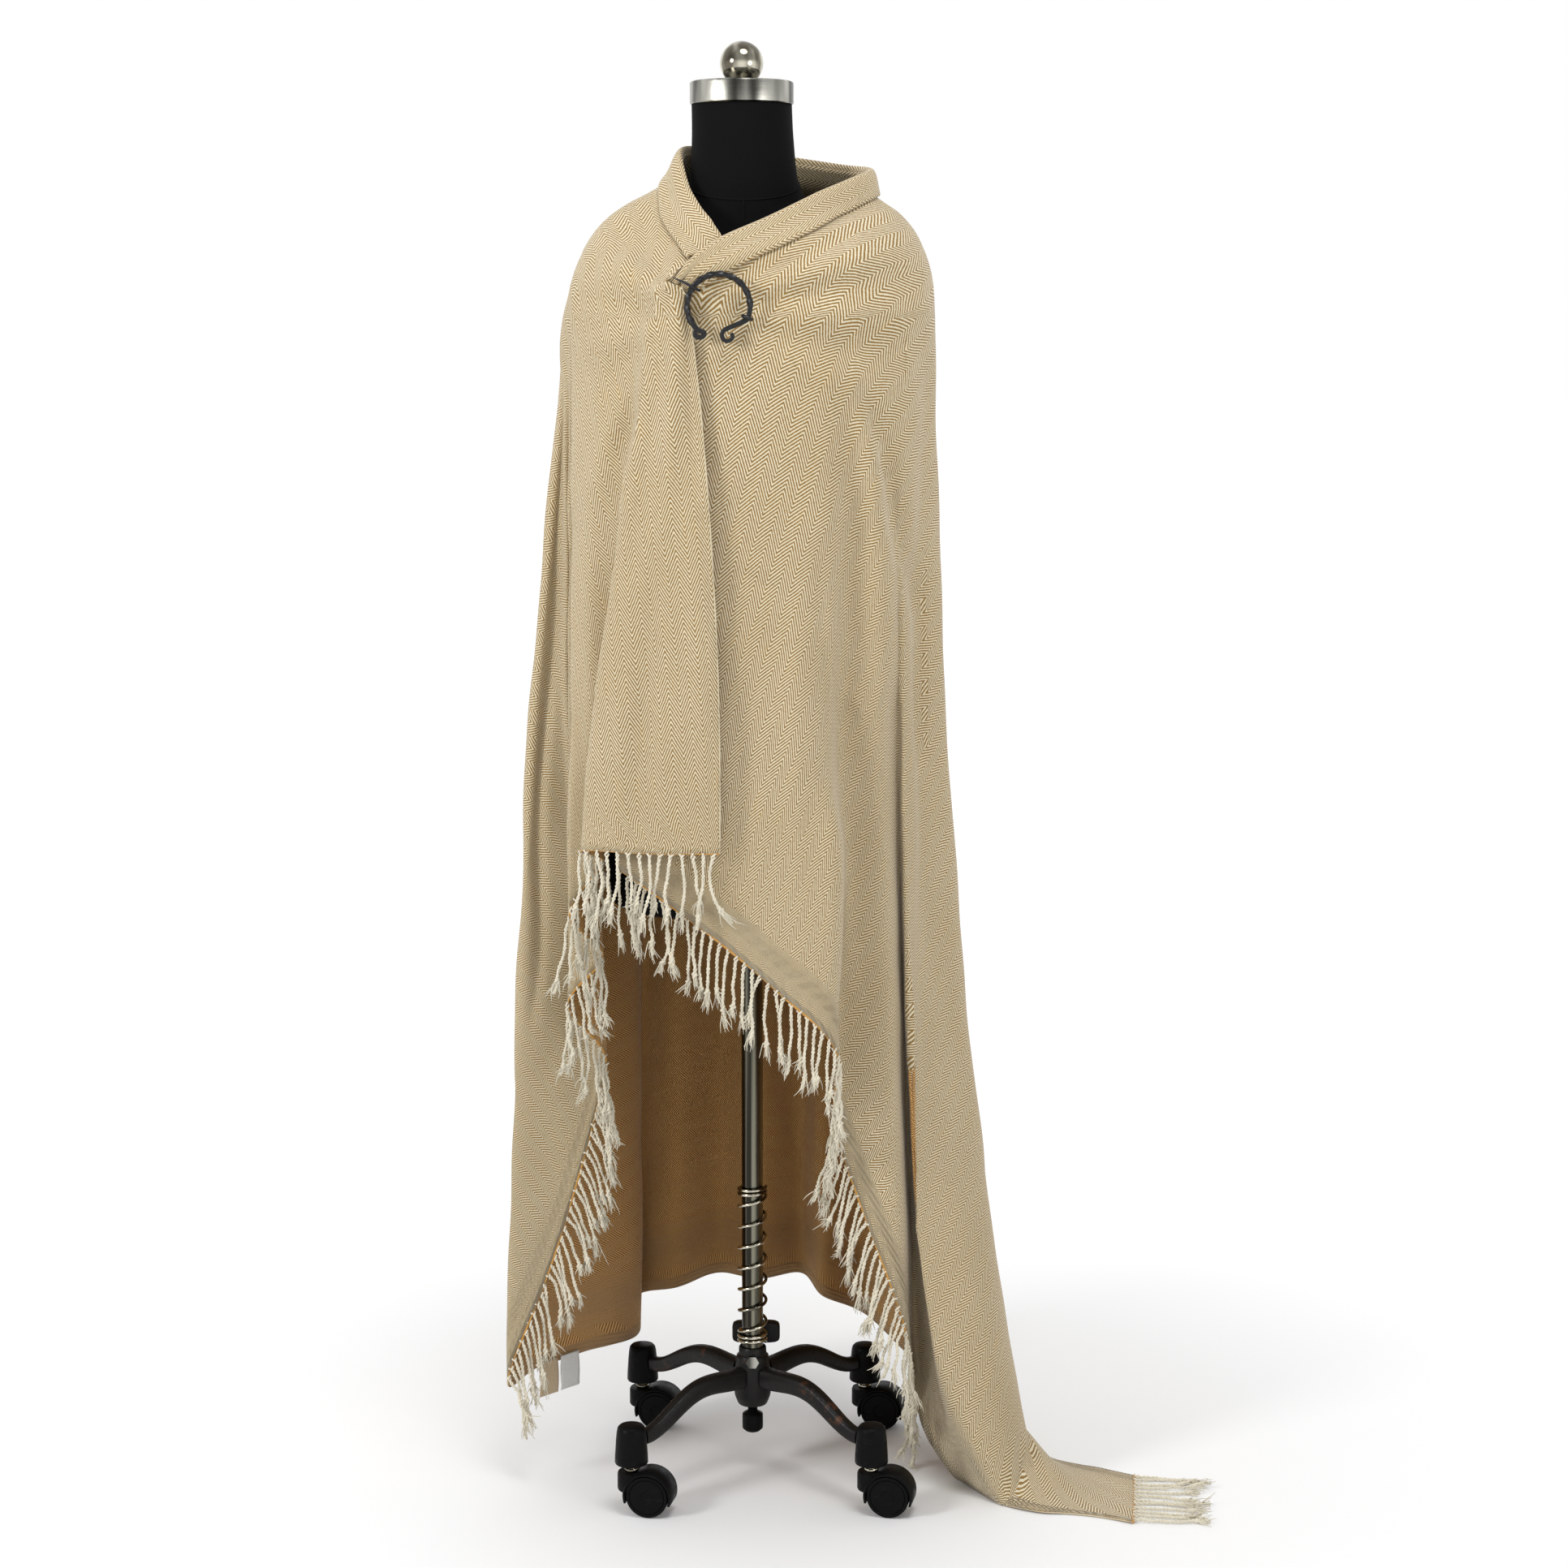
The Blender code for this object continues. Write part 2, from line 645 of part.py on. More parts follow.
def draw_cord(shape, root, way, cord, lies):
    """One cord with a knot near its end, as two lengths of four sides."""
    centre = sum((corner.co for corner in root), Vector()) / 4
    length = CORD_LENGTH * (1 + CORD_SPREAD * math.sin(cord * 2.4))
    if lies:
        way = Vector((way.x, way.y, 0)).normalized()
    else:
        length = min(length, max((centre.z - FLOOR_SPACE) / max(-way.z, 0.2), SHORTEST_CORD))
    side = way.cross(Vector((0, 1, 0)) if abs(way.y) < 0.8 else Vector((1, 0, 0))).normalized()
    depth = way.cross(side)
    across = (root[1].co - root[0].co).normalized()
    if abs(across.dot(side)) < abs(across.dot(depth)):
        side, depth = depth, side
    if across.dot(side) < 0:
        side = -side
    thick = (root[2].co - root[1].co).normalized()
    if thick.dot(depth) < 0:
        depth = -depth
    sway = side * (CORD_SWAY * math.sin(cord * 1.7))
    for share, width in ((0.84, KNOT_WIDTH), (1.0, CORD_WIDTH * 0.7)):
        middle = centre + way * length * share + sway * share
        middle.z = max(middle.z, width / 2 + FLOOR_GAP)
        offsets = ((-1, -1), (1, -1), (1, 1), (-1, 1))
        ring = [
            shape.verts.new(middle + side * (a * width / 2) + depth * (b * width / 2))
            for a, b in offsets
        ]
        for at in range(4):
            turn = (at + 1) % 4
            shape.faces.new((root[at], root[turn], ring[turn], ring[at]))
        root = ring
    shape.faces.new(root)


def make_fringes(columns, normals, train, train_normals, parent):
    for name, first, last in FRINGES:
        span = stretch_span(first, last)
        fringe(name, edge_stations(columns[span], normals[span]), parent)
    fringe("fringe-train", edge_stations(train, train_normals), parent, lies=True)


def make_labels(columns, parent):
    """Two blank care labels, sewn inside the hem at the left."""
    for name, colour, along in LABELS:
        at = NAMES.index("left side") * BETWEEN_FOLDS
        start, end = columns[at][-1], columns[at + BETWEEN_FOLDS][-1]
        way = (end - start).normalized()
        inward = way.cross(Vector((0, 0, 1))).normalized()
        if inward.dot(Vector((0, 0, 0)) - start) < 0:
            inward = -inward
        centre = start + way * along + inward * LABEL_INSET
        centre.z -= LABEL_HEIGHT / 2 - LABEL_TUCK
        shape = bmesh.new()
        bmesh.ops.create_cube(shape, size=1)
        bmesh.ops.scale(shape, vec=(LABEL_WIDTH, LABEL_THICKNESS, LABEL_HEIGHT), verts=shape.verts)
        label = add_object(name, mesh_from(name, shape), colour, parent, centre)
        label.rotation_euler.z = math.atan2(way.y, way.x)


def turned(name, profile, colour, parent, place=(0, 0, 0), steps=20, lying=False):
    """A solid turned about its axis from a profile of radius and height, top to bottom.

    One that lies has its top towards the front.
    """
    mesh = bpy.data.meshes.new(name)
    points = [(radius, 0, height) for radius, height in profile]
    edges = [(at, at + 1) for at in range(len(points) - 1)]
    mesh.from_pydata(points, edges, [])
    made = add_object(name, mesh, colour, parent, place)
    screw = made.modifiers.new("turned", "SCREW")
    screw.steps = screw.render_steps = steps
    screw.use_merge_vertices = True
    screw.merge_threshold = 1e-5
    screw.use_smooth_shade = True
    if lying:
        made.rotation_euler.x = math.radians(90)
    return made


def tube(name, points, radius, colour, parent, place=(0, 0, 0), sides=2, radii=None):
    """A POLY curve with a round section and filled caps."""
    curve = bpy.data.curves.new(name, "CURVE")
    curve.dimensions = "3D"
    curve.bevel_depth = radius
    curve.bevel_resolution = sides
    curve.use_fill_caps = True
    spline = curve.splines.new("POLY")
    spline.points.add(len(points) - 1)
    for at, (slot, point) in enumerate(zip(spline.points, points)):
        slot.co = (*point, 1)
        if radii:
            slot.radius = radii[at]
    return add_object(name, curve, colour, parent, place)


def form_shift(height):
    """The form leans a little to the viewer's left towards its neck."""
    return FORM_LEAN * min(max((height - FORM_LEAN_FROM) / (FORM_TOP - FORM_LEAN_FROM), 0), 1)


def make_form(parent):
    shape = bmesh.new()
    rings = []
    for height, half_width, front, back in FORM:
        ring = []
        for step in range(FORM_SIDES):
            angle = TAU * step / FORM_SIDES
            depth = back if math.sin(angle) > 0 else front
            x = form_shift(height) + half_width * math.cos(angle)
            ring.append(shape.verts.new((x, depth * math.sin(angle), height)))
        rings.append(ring)
    for lower, upper in zip(rings, rings[1:]):
        for at in range(FORM_SIDES):
            turn = (at + 1) % FORM_SIDES
            shape.faces.new((lower[at], lower[turn], upper[turn], upper[at]))
    shape.faces.new(list(reversed(rings[0])))
    shape.faces.new(rings[-1])
    add_object("dress-form", mesh_from("dress-form", shape), "jersey", parent)
    neck = (FORM_LEAN, 0, 0)
    cap = [(0, CAP_TOP), (CAP_RADIUS - CAP_BEVEL, CAP_TOP), (CAP_RADIUS, CAP_TOP - CAP_BEVEL)]
    cap += [(CAP_RADIUS, CAP_BOTTOM), (0, CAP_BOTTOM)]
    turned("neck-cap", cap, "brushed steel", parent, neck)
    cut = BALL_CENTRE - CAP_TOP - BALL_GAP
    lowest = math.acos(-cut / BALL_RADIUS)
    ball = [
        (BALL_RADIUS * math.sin(angle), BALL_CENTRE + BALL_RADIUS * math.cos(angle))
        for angle in (lowest * step / BALL_STEPS for step in range(BALL_STEPS + 1))
    ]
    ball[0] = (0, BALL_CENTRE + BALL_RADIUS)
    ball.append((0, ball[-1][1]))
    turned("ball-finial", ball, "chrome", parent, neck)


def make_stand(parent):
    pole = [(0, POLE_TOP), (POLE_RADIUS, POLE_TOP), (POLE_RADIUS, POLE_BOTTOM), (0, POLE_BOTTOM)]
    turned("pole", pole, "chrome", parent)
    hub = [(0, HUB_TOP), (HUB_NECK, HUB_TOP), (HUB_SHOULDER, HUB_TOP - 0.012)]
    hub += [(HUB_RADIUS, HUB_TOP - 0.03), (HUB_RADIUS, HUB_BOTTOM + 0.01)]
    hub += [(HUB_FOOT, HUB_BOTTOM), (0, HUB_BOTTOM)]
    turned("hub", hub, "black enamel", parent)
    screw_top = HUB_BOTTOM - STAND_GAP
    knob = [(0, screw_top), (KNOB_SCREW_RADIUS, screw_top), (KNOB_SCREW_RADIUS, KNOB_TOP + KNOB_BEVEL)]
    knob += [(KNOB_RADIUS, KNOB_TOP), (KNOB_RADIUS, KNOB_BOTTOM + KNOB_BEVEL)]
    knob += [(KNOB_FOOT_RADIUS, KNOB_BOTTOM), (0, KNOB_BOTTOM)]
    turned("hub-knob", knob, "black plastic", parent)
    bolt = [(0, BOLT_HEIGHT), (BOLT_RADIUS, BOLT_HEIGHT), (BOLT_RADIUS, 0), (0, 0)]
    place = (0, -HUB_RADIUS - STAND_GAP, BOLT_Z)
    turned("hub-bolt", bolt, "brushed steel", parent, place, 6, lying=True)
    shape = bmesh.new()
    bmesh.ops.create_cube(shape, size=1)
    bmesh.ops.scale(shape, vec=PEDAL_SIZE, verts=shape.verts)
    place = (PEDAL_X, HUB_RADIUS + STAND_GAP + PEDAL_SIZE[1] / 2, PEDAL_Z)
    add_object("height-pedal", mesh_from("height-pedal", shape), "black enamel", parent, place)
    make_spring(parent)
    for name, side, way in CASTERS:
        make_leg(name, side, way, parent)


def make_spring(parent):
    """A wound spring round the pole: close turns at each end, open between."""
    heights = []
    for turns, rise in SPRING_RUNS:
        steps = int(turns * SPRING_SIDES)
        heights += [rise / SPRING_SIDES] * steps
    scale = (SPRING_TOP - SPRING_BOTTOM) / sum(heights)
    height = SPRING_BOTTOM + SPRING_WIRE
    points = []
    for step, rise in enumerate([0, *heights]):
        height += rise * scale
        angle = TAU * step / SPRING_SIDES
        points.append((SPRING_REACH * math.cos(angle), SPRING_REACH * math.sin(angle), height))
    tube("pole-spring", points, SPRING_WIRE, "chrome", parent, sides=0)


def make_leg(name, side, way, parent):
    """An arched leg from the hub to its caster, with the hood over the caster's stem."""
    end = math.hypot(CASTER_REACH, CASTER_REACH)
    points, radii = [], []
    start = HUB_RADIUS + STAND_GAP
    finish = end - HOOD_RADIUS - STAND_GAP / 2
    for step in range(LEG_STEPS + 1):
        share = step / LEG_STEPS
        reach = start + (finish - start) * share
        height = LEG_START_Z + LEG_RISE * math.sin(math.pi * share) ** 2
        height -= LEG_FALL * (3 * share**2 - 2 * share**3)
        points.append((side * reach * math.sqrt(0.5), way * reach * math.sqrt(0.5), height))
        radii.append(LEG_THICK + (LEG_THIN - LEG_THICK) * share)
    tube("leg-" + name, points, LEG_RADIUS, "black enamel", parent, sides=2, radii=radii)
    hood = [(0, HOOD_TOP), (HOOD_RADIUS * HOOD_TAPER, HOOD_TOP)]
    hood += [(HOOD_RADIUS, HOOD_BOTTOM), (0, HOOD_BOTTOM)]
    place = (side * CASTER_REACH, way * CASTER_REACH, 0)
    turned("hood-" + name, hood, "black plastic", parent, place)


def make_casters(parent):
    """Each caster: a stem and twin-wheel housing that swivel, and a pair of wheels that roll."""
    housing = housing_mesh()
    for name, side, way in CASTERS:
        swivel = bpy.data.objects.new("caster-axis-" + name, None)
        swivel.location = (side * CASTER_REACH, way * CASTER_REACH, 0)
        swivel.rotation_euler.z = CASTER_TURN
        swivel.parent = parent
        collection.objects.link(swivel)
        add_object("caster-housing-" + name, housing, "black plastic", swivel)
        wheels = [(0, WHEEL_OUTSIDE), (WHEEL_RADIUS - WHEEL_BEVEL, WHEEL_OUTSIDE)]
        wheels += [(WHEEL_RADIUS, WHEEL_OUTSIDE - WHEEL_BEVEL), (WHEEL_RADIUS, WHEEL_INSIDE)]
        wheels += [(AXLE_RADIUS, WHEEL_INSIDE)]
        wheels += [(radius, -height) for radius, height in reversed(wheels)]
        place = (WHEEL_OFFSET, 0, WHEEL_RADIUS)
        turned("caster-wheels-" + name, wheels, "black plastic", swivel, place, lying=True)


def helper_solid(name, maker, place, turn=(0, 0, 0)):
    shape = bmesh.new()
    maker(shape)
    mesh = bpy.data.meshes.new(name)
    shape.to_mesh(mesh)
    shape.free()
    made = bpy.data.objects.new(name, mesh)
    made.location = place
    made.rotation_euler = turn
    made.hide_render = True
    made.display_type = "WIRE"
    cutters.objects.link(made)
    return made


def cylinder(radius, length, sides=18):
    def maker(shape):
        bmesh.ops.create_cone(
            shape,
            cap_ends=True,
            segments=sides,
            radius1=radius,
            radius2=radius,
            depth=length,
        )

    return maker


def box(size):
    def maker(shape):
        bmesh.ops.create_cube(shape, size=1)
        bmesh.ops.scale(shape, vec=size, verts=shape.verts)

    return maker


def housing_mesh():
    """A fender over two wheels, with a web between them, a boss and a stem on top."""
    lying = (math.radians(90), 0, 0)
    axle = (WHEEL_OFFSET, 0, WHEEL_RADIUS)
    body = helper_solid("fender", cylinder(FENDER_RADIUS, FENDER_WIDTH), axle, lying)
    steps = [
        ("UNION", helper_solid("boss", cylinder(BOSS_RADIUS, BOSS_HEIGHT), (0, 0, BOSS_Z))),
        ("UNION", helper_solid("stem", cylinder(STEM_RADIUS, STEM_HEIGHT), (0, 0, STEM_Z))),
    ]
    for side in (-1, 1):
        place = (WHEEL_OFFSET, side * (WHEEL_ROOM_SIDE + FENDER_WIDTH / 2), WHEEL_RADIUS)
        room = helper_solid("wheel room", cylinder(WHEEL_ROOM, FENDER_WIDTH), place, lying)
        steps.append(("DIFFERENCE", room))
    axle_room = helper_solid("axle room", cylinder(AXLE_ROOM, FENDER_WIDTH), axle, lying)
    place = (WHEEL_OFFSET, 0, FENDER_FOOT - FENDER_RADIUS)
    below = box((4 * FENDER_RADIUS, 2 * FENDER_WIDTH, 2 * FENDER_RADIUS))
    steps += [("DIFFERENCE", axle_room), ("DIFFERENCE", helper_solid("open foot", below, place))]
    for kind, other in steps:
        cut = body.modifiers.new(kind.lower(), "BOOLEAN")
        cut.operation = kind
        cut.object = other
    bpy.context.view_layer.update()
    graph = bpy.context.evaluated_depsgraph_get()
    mesh = bpy.data.meshes.new_from_object(body.evaluated_get(graph))
    mesh.transform(body.matrix_world)
    mesh.materials.clear()
    mesh.name = "caster housing"
    return mesh


def make_brooch(parent):
    """An open ring whose two legs end in curls, and its pin's tip and eye, which clasp it."""
    begin, finish = (math.atan2(leg[0][0], -leg[0][1]) for leg in (RIGHT_LEG, LEFT_LEG))
    finish += TAU
    points = [(x, 0, z) for x, z in reversed(RIGHT_LEG)]
    for step in range(1, BROOCH_STEPS):
        angle = begin + (finish - begin) * step / BROOCH_STEPS
        points.append((BROOCH_RADIUS * math.sin(angle), 0, -BROOCH_RADIUS * math.cos(angle)))
    points += [(x, 0, z) for x, z in LEFT_LEG]
    right_taper, left_taper = (
        [1 - (1 - LEG_TAPER) * at / (len(leg) - 1) for at in range(len(leg))]
        for leg in (RIGHT_LEG, LEFT_LEG)
    )
    radii = [*reversed(right_taper), *[1.0] * (BROOCH_STEPS - 1), *left_taper]
    tube("brooch-ring", points, BROOCH_WIRE, "forged steel", parent, BROOCH_PLACE, 1, radii)
    tube("brooch-pin", PIN_TIP, PIN_WIRE, "forged steel", parent, BROOCH_PLACE, 1, PIN_RADII)
    around = BROOCH_WIRE + EYE_WIRE + RING_SPACE
    turn = math.radians(EYE_TURN)
    centre = Vector((BROOCH_RADIUS * math.sin(turn), 0, -BROOCH_RADIUS * math.cos(turn)))
    across = -centre.normalized()
    eye = []
    for step in range(EYE_STEPS + 1):
        angle = math.radians((360 - EYE_OPENING) * (step / EYE_STEPS - 0.5))
        point = centre + across * around * math.cos(angle)
        point.y += around * math.sin(angle)
        eye.append(point)
    tube("brooch-eye", eye, EYE_WIRE, "forged steel", parent, BROOCH_PLACE, 1)


scene = bpy.context.scene
for old in list(bpy.data.objects):
    bpy.data.objects.remove(old)
collection = bpy.data.collections.new("shawl cape on a dress form")
scene.collection.children.link(collection)
cutters = bpy.data.collections.new("cutters")
scene.collection.children.link(cutters)
whole = bpy.data.objects.new("pole axis", None)
collection.objects.link(whole)

grid = sheet_grid()
train_first, train = train_grid(grid)
grid_normals = normals_of(grid)
joined = [grid[train_first + at][:-1] + column for at, column in enumerate(train)]
joined_normals = normals_of(joined)
foot = len(grid[0]) - 1
for at in range(len(train)):
    grid_normals[train_first + at][foot] = joined_normals[at][foot]
train_normals = [column[foot:] for column in joined_normals]
train = [
    [column[0] + (column[1] - column[0]).normalized() * SEAM, *column[1:]] for column in train
]

make_stretches(grid, grid_normals, whole)
cloth_wall("cape-train", train, train_normals, whole)
collar_band("collar-left", grid, grid_normals, 2.5, 5.5, whole, ((0, 0.020),))
collar_band("collar-back", grid, grid_normals, 5.5, 9.4, whole)
collar_band("collar-right", grid, grid_normals, 9.4, 15.0, whole, ((-1, 0.012),))
make_fringes(grid, grid_normals, train, train_normals, whole)
make_labels(grid, whole)
make_brooch(whole)
make_form(whole)
make_stand(whole)
make_casters(whole)


def middle_of_the_floor():
    """The place on the floor under the middle of everything built."""
    bpy.context.view_layer.update()
    graph = bpy.context.evaluated_depsgraph_get()
    corners = []
    for made in collection.objects:
        if made.type == "EMPTY":
            continue
        evaluated = made.evaluated_get(graph)
        mesh = evaluated.to_mesh()
        corners += [evaluated.matrix_world @ vertex.co for vertex in mesh.vertices]
        evaluated.to_mesh_clear()
    lows = [min(corner[axis] for corner in corners) for axis in range(3)]
    highs = [max(corner[axis] for corner in corners) for axis in range(3)]
    return Vector(((lows[0] + highs[0]) / 2, (lows[1] + highs[1]) / 2, lows[2]))


whole.location = -middle_of_the_floor()
bpy.context.view_layer.update()
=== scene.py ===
"""The looks of a herringbone shawl worn as a cape on a dress form with a wheeled stand.

Metres, +Z up, the front faces -Y. The shapes are worked out about the pole's axis,
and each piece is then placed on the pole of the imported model.
"""

import math

import bmesh
import bpy
import numpy as np
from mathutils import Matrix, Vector


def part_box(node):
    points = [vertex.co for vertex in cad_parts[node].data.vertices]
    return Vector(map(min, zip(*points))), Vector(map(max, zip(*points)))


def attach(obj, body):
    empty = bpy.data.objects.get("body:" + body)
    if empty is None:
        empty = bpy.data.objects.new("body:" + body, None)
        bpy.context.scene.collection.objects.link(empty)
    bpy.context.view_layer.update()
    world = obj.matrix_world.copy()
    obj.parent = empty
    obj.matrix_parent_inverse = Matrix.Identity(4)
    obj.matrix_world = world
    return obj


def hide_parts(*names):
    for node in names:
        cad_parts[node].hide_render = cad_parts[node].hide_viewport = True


TAU = 2 * math.pi

# Cloth
THICKNESS = 0.0020
LOWEST = 0.0013  # of the cloth's middle above the floor
RING_Z = 1.380  # height where the cloth leaves the shoulders and starts to hang
RING_RX = 0.209
RING_RY = 0.145
RING_Y = -0.005
BETWEEN = 12  # columns from one fold line to the next
SHOULDER_STEPS = 24
DROP_STEPS = 84
TRAIN_STEPS = 8
TRAIN_SIDE_AT = 0.55
TRAIN_SIDE_HEIGHT = 0.6
FLAT_WIDTH = 1.30
FLAT_LENGTH = 1.95
LAYOUT_SPACE = 1.1  # the weave is laid out this much larger, so that no cell is crowded
LAYOUT_ROUNDS = 1500
LAYOUT_STIFF = 0.7
LAYOUT_HOLD = 0.05
LAYOUT_PASSES = 4
LAYOUT_SMOOTH = 0.6
LAYOUT_NEAR = 0.006  # points closer than this count no more in the smoothing
FLAT_BETWEEN = 3  # the coarse grid on which the cloth is laid flat, in the fine one's order
FLAT_SHOULDER = 6
FLAT_DROP = 14
FLAT_TRAIN = 2
CREASE_MARGIN = 0.02  # of the way from one fold line to the next
CREASE_TAPER = (0.86, 0.07, 0.7)  # share of a wave from end to end, its start, its power
FOLD_TAPER = 0.6
FOLD_WANDER = (0.1, 17, 3)  # how far to each side, waves by height, start by place
UNEVEN = ((31, 0.0012, 0.4), (47, 0.0009, 1.9), (83, 0.0005, 3.1))  # waves, size, start

# Collar: the way of its section down from the top edge, and out from the cloth
COLLAR_DEPTH = 0.042
COLLAR_STEPS = 34
COLLAR_REACH = 40  # rows of the cloth's grid that the section can run down
COLLAR_ROW = 4  # the row that gives the way out of the cloth
COLLAR_WEAVE = 0.6  # where along the woven piece the turned-back edge begins
COLLAR_WIDTHS = (
    # place along the neckline, share of the full depth
    (2.5, 1.0),
    (8.0, 1.0),
    (9.4, 0.8),
    (10.2, 0.66),
    (11.0, 0.7),
    (12.5, 0.9),
    (15.0, 0.9),
)
COLLAR_SECTION = (
    (0.02, 0.0006),
    (-0.06, 0.0018),
    (-0.10, 0.0042),
    (-0.06, 0.0068),
    (0.06, 0.0090),
    (0.25, 0.0100),
    (0.50, 0.0098),
    (0.74, 0.0086),
    (0.92, 0.0066),
    (1.00, 0.0044),
    (0.98, 0.0024),
    (0.90, 0.0014),
)

# Its ends: share of the way on, share of the thickness left. Then for each end: its
# row, the row that gives its heading, its length, and how much narrower it ends
COLLAR_END = ((0.2, 0.98), (0.4, 0.92), (0.6, 0.8), (0.8, 0.6), (0.94, 0.32), (1.0, 0.06))
COLLAR_ENDS = ((0, 6, 0.025, 0.0), (-1, -7, 0.024, 0.5))

# Weave
COLUMN = 0.0132  # width of one herringbone column
PITCH = 0.0057  # from one diagonal line to the next, along the warp
SLOPE = math.tan(math.radians(60))
DRIFT_SCALE = 14.0  # of the weave's slow wander, and how far it goes
DRIFT = 0.0035
PLAIN = (1, 1, 1, 1)
INNER_SHADE_TINT = (0.94, 0.65, 0.36, 1)  # painted shade over the cloth's inner face: a warm brown for shadow and bounce light
INNER_SHADE_HEIGHTS = (1.22, 1.40)  # the painted shade fades out upwards between these

# Fringe
CORD_LENGTH = 0.075
CORD_PITCH = 0.012
CORD_SPREAD = 0.14
PLY_RADIUS = 0.00125
PLY_REACH = 0.00130  # of a ply's middle from the cord's middle
PLY_TURN = 0.0098  # length of one turn of the plies
CORD_STEPS = 22
PLY_SIDES = 5
FLOOR_SPACE = 0.004
LEAST_ANGLE = math.radians(33)
FRAYS = 10
CORD_CRINKLE = 0.0018
CORD_SWAY = (0.0045, 0.0080, 0.0040)  # sideways on the way, at the end, and out of the cloth
KNOT_AT = 0.82  # share of the cord's length
KNOT_SPREAD = 0.045
ROOT_OUT = 0.0035  # from the cloth's edge, before the cord turns its own way
FRAY_START = 0.0012  # how unevenly the hairs start, bend and end
FRAY_BEND = 0.0016
FRAY_END = 0.0045
HAIR = (0.0009, 0.0008, 0.0006, 0.0003)  # radii of one frayed end
THREAD_STEP = 0.0035
THREAD_WAVES = 1700

# Stand. A profile is radius and height, from the bottom up. The hub's is a share of its
# radius, and the height over its bottom
GAP = 0.0006  # left between parts that touch
POLE_RADIUS = 0.0127
POLE_BOTTOM = 0.1535
POLE_TOP = 0.6915
SPRING_BOTTOM = 0.156
SPRING_TOP = 0.354
SPRING_WIRE = 0.002
SPRING_REACH = 0.0163
SPRING_RUNS = ((2.5, 0.005), (6.5, 0.024), (2, 0.005))  # turns, rise of each turn
SPRING_STEPS = 36  # points in one turn
HUB_BOTTOM = 0.081
HUB_RADIUS = 0.022
HUB_PROFILE = (
    (0, 0), (0.76, 0), (0.82, 0.0015), (0.97, 0.010), (1, 0.014), (1, 0.040), (0.97, 0.044),
    (0.9, 0.058), (0.87, 0.061), (0.76, 0.063), (0.75, 0.0708), (0.71, 0.072), (0, 0.072),
)
KNOB_PROFILE = (
    (0, 0.046), (0.0082, 0.046), (0.0090, 0.0465), (0.0122, 0.0495),
    (0.0125, 0.0505), (0.0125, 0.0672), (0.0121, 0.0681), (0.0062, 0.0716),
)
KNOB_THREAD = (0.0722, 14, 0.0058, 0.0007)  # start, ridges, radius, depth
SCREW_PROFILE = (
    (0, -0.006), (0.0072, -0.006), (0.008, -0.005), (0.008, -0.0012), (0.008, 0), (0, 0),
)
BOLT_Z = 0.139
PEDAL_SIZE = (0.058, 0.014, 0.026)
PEDAL_X = 0.004
PEDAL_Z = 0.161
PEDAL_SIDES = 40
PEDAL_STEPS = 15
LEG_RADIUS = 0.0105
LEG_START_Z = 0.118
LEG_RISE = 0.016
LEG_FALL = 0.032
RUST_PLACE = (0.098, -0.112, 0.115)  # the worn mark on the front right leg
RUST_REACH = (0.026, 0.006)
LEG_SECTION = (3.4, 0.86)  # power of its rounded sides, and how flat it is
HOOD_RADIUS = 0.0195
HOOD_PROFILE = (
    (0, 0.060), (0.0188, 0.060), (HOOD_RADIUS, 0.0612), (0.0192, 0.070), (0.0180, 0.088),
    (0.0170, 0.098), (0.0160, 0.1028), (0.0138, 0.1053), (0.0110, 0.106), (0, 0.106),
)
CASTER_REACH = 0.14  # a caster's stem lies this far along X and along Y
CASTER_TURN = math.radians(-12)
WHEEL_RADIUS = 0.025
WHEEL_OFFSET = 0.022
WHEEL_ROOM = 0.0262
FENDER_RADIUS = 0.0288
HOUSING_BOTTOM = 0.016
HOUSING_HALF = (
    # radius about the axle, across from the middle
    (0.0046, 0.0048), (WHEEL_ROOM, 0.0048), (WHEEL_ROOM, 0.018),
    (FENDER_RADIUS - 0.0010, 0.018), (FENDER_RADIUS, 0.0168),
)
BOSS_PROFILE = (
    (0, 0.028), (0.0155, 0.028), (0.0165, 0.030), (0.0165, 0.0475), (0.0155, 0.0498),
    (0.0075, 0.0500), (0, 0.0500),
)
STEM_PROFILE = (
    (0, 0.0502), (0.0078, 0.0502), (0.0082, 0.0510), (0.0082, 0.0532), (0.0078, 0.0540),
    (0.0054, 0.0542), (0.0054, 0.0596), (0, 0.0596),
)
AXLE = ((0.0040, -0.0056), (0.0040, 0.0056))
WHEEL_PROFILE = (
    # radius about the axle, across from the middle
    (0.0042, 0.0052), (0.0226, 0.0052), (0.0242, 0.0060), (0.0250, 0.0076), (0.0250, 0.0150),
    (0.0244, 0.0166), (0.0230, 0.0172), (0.0212, 0.0168), (0.0206, 0.0160), (0.0200, 0.0168),
    (0.0150, 0.0176), (0.0080, 0.0179), (0.0070, 0.0170), (0.0, 0.0170),
)
CASTERS = (
    # name, side along X, side along Y
    ("front-left", -1, -1),
    ("front-right", 1, -1),
    ("rear-left", -1, 1),
    ("rear-right", 1, 1),
)

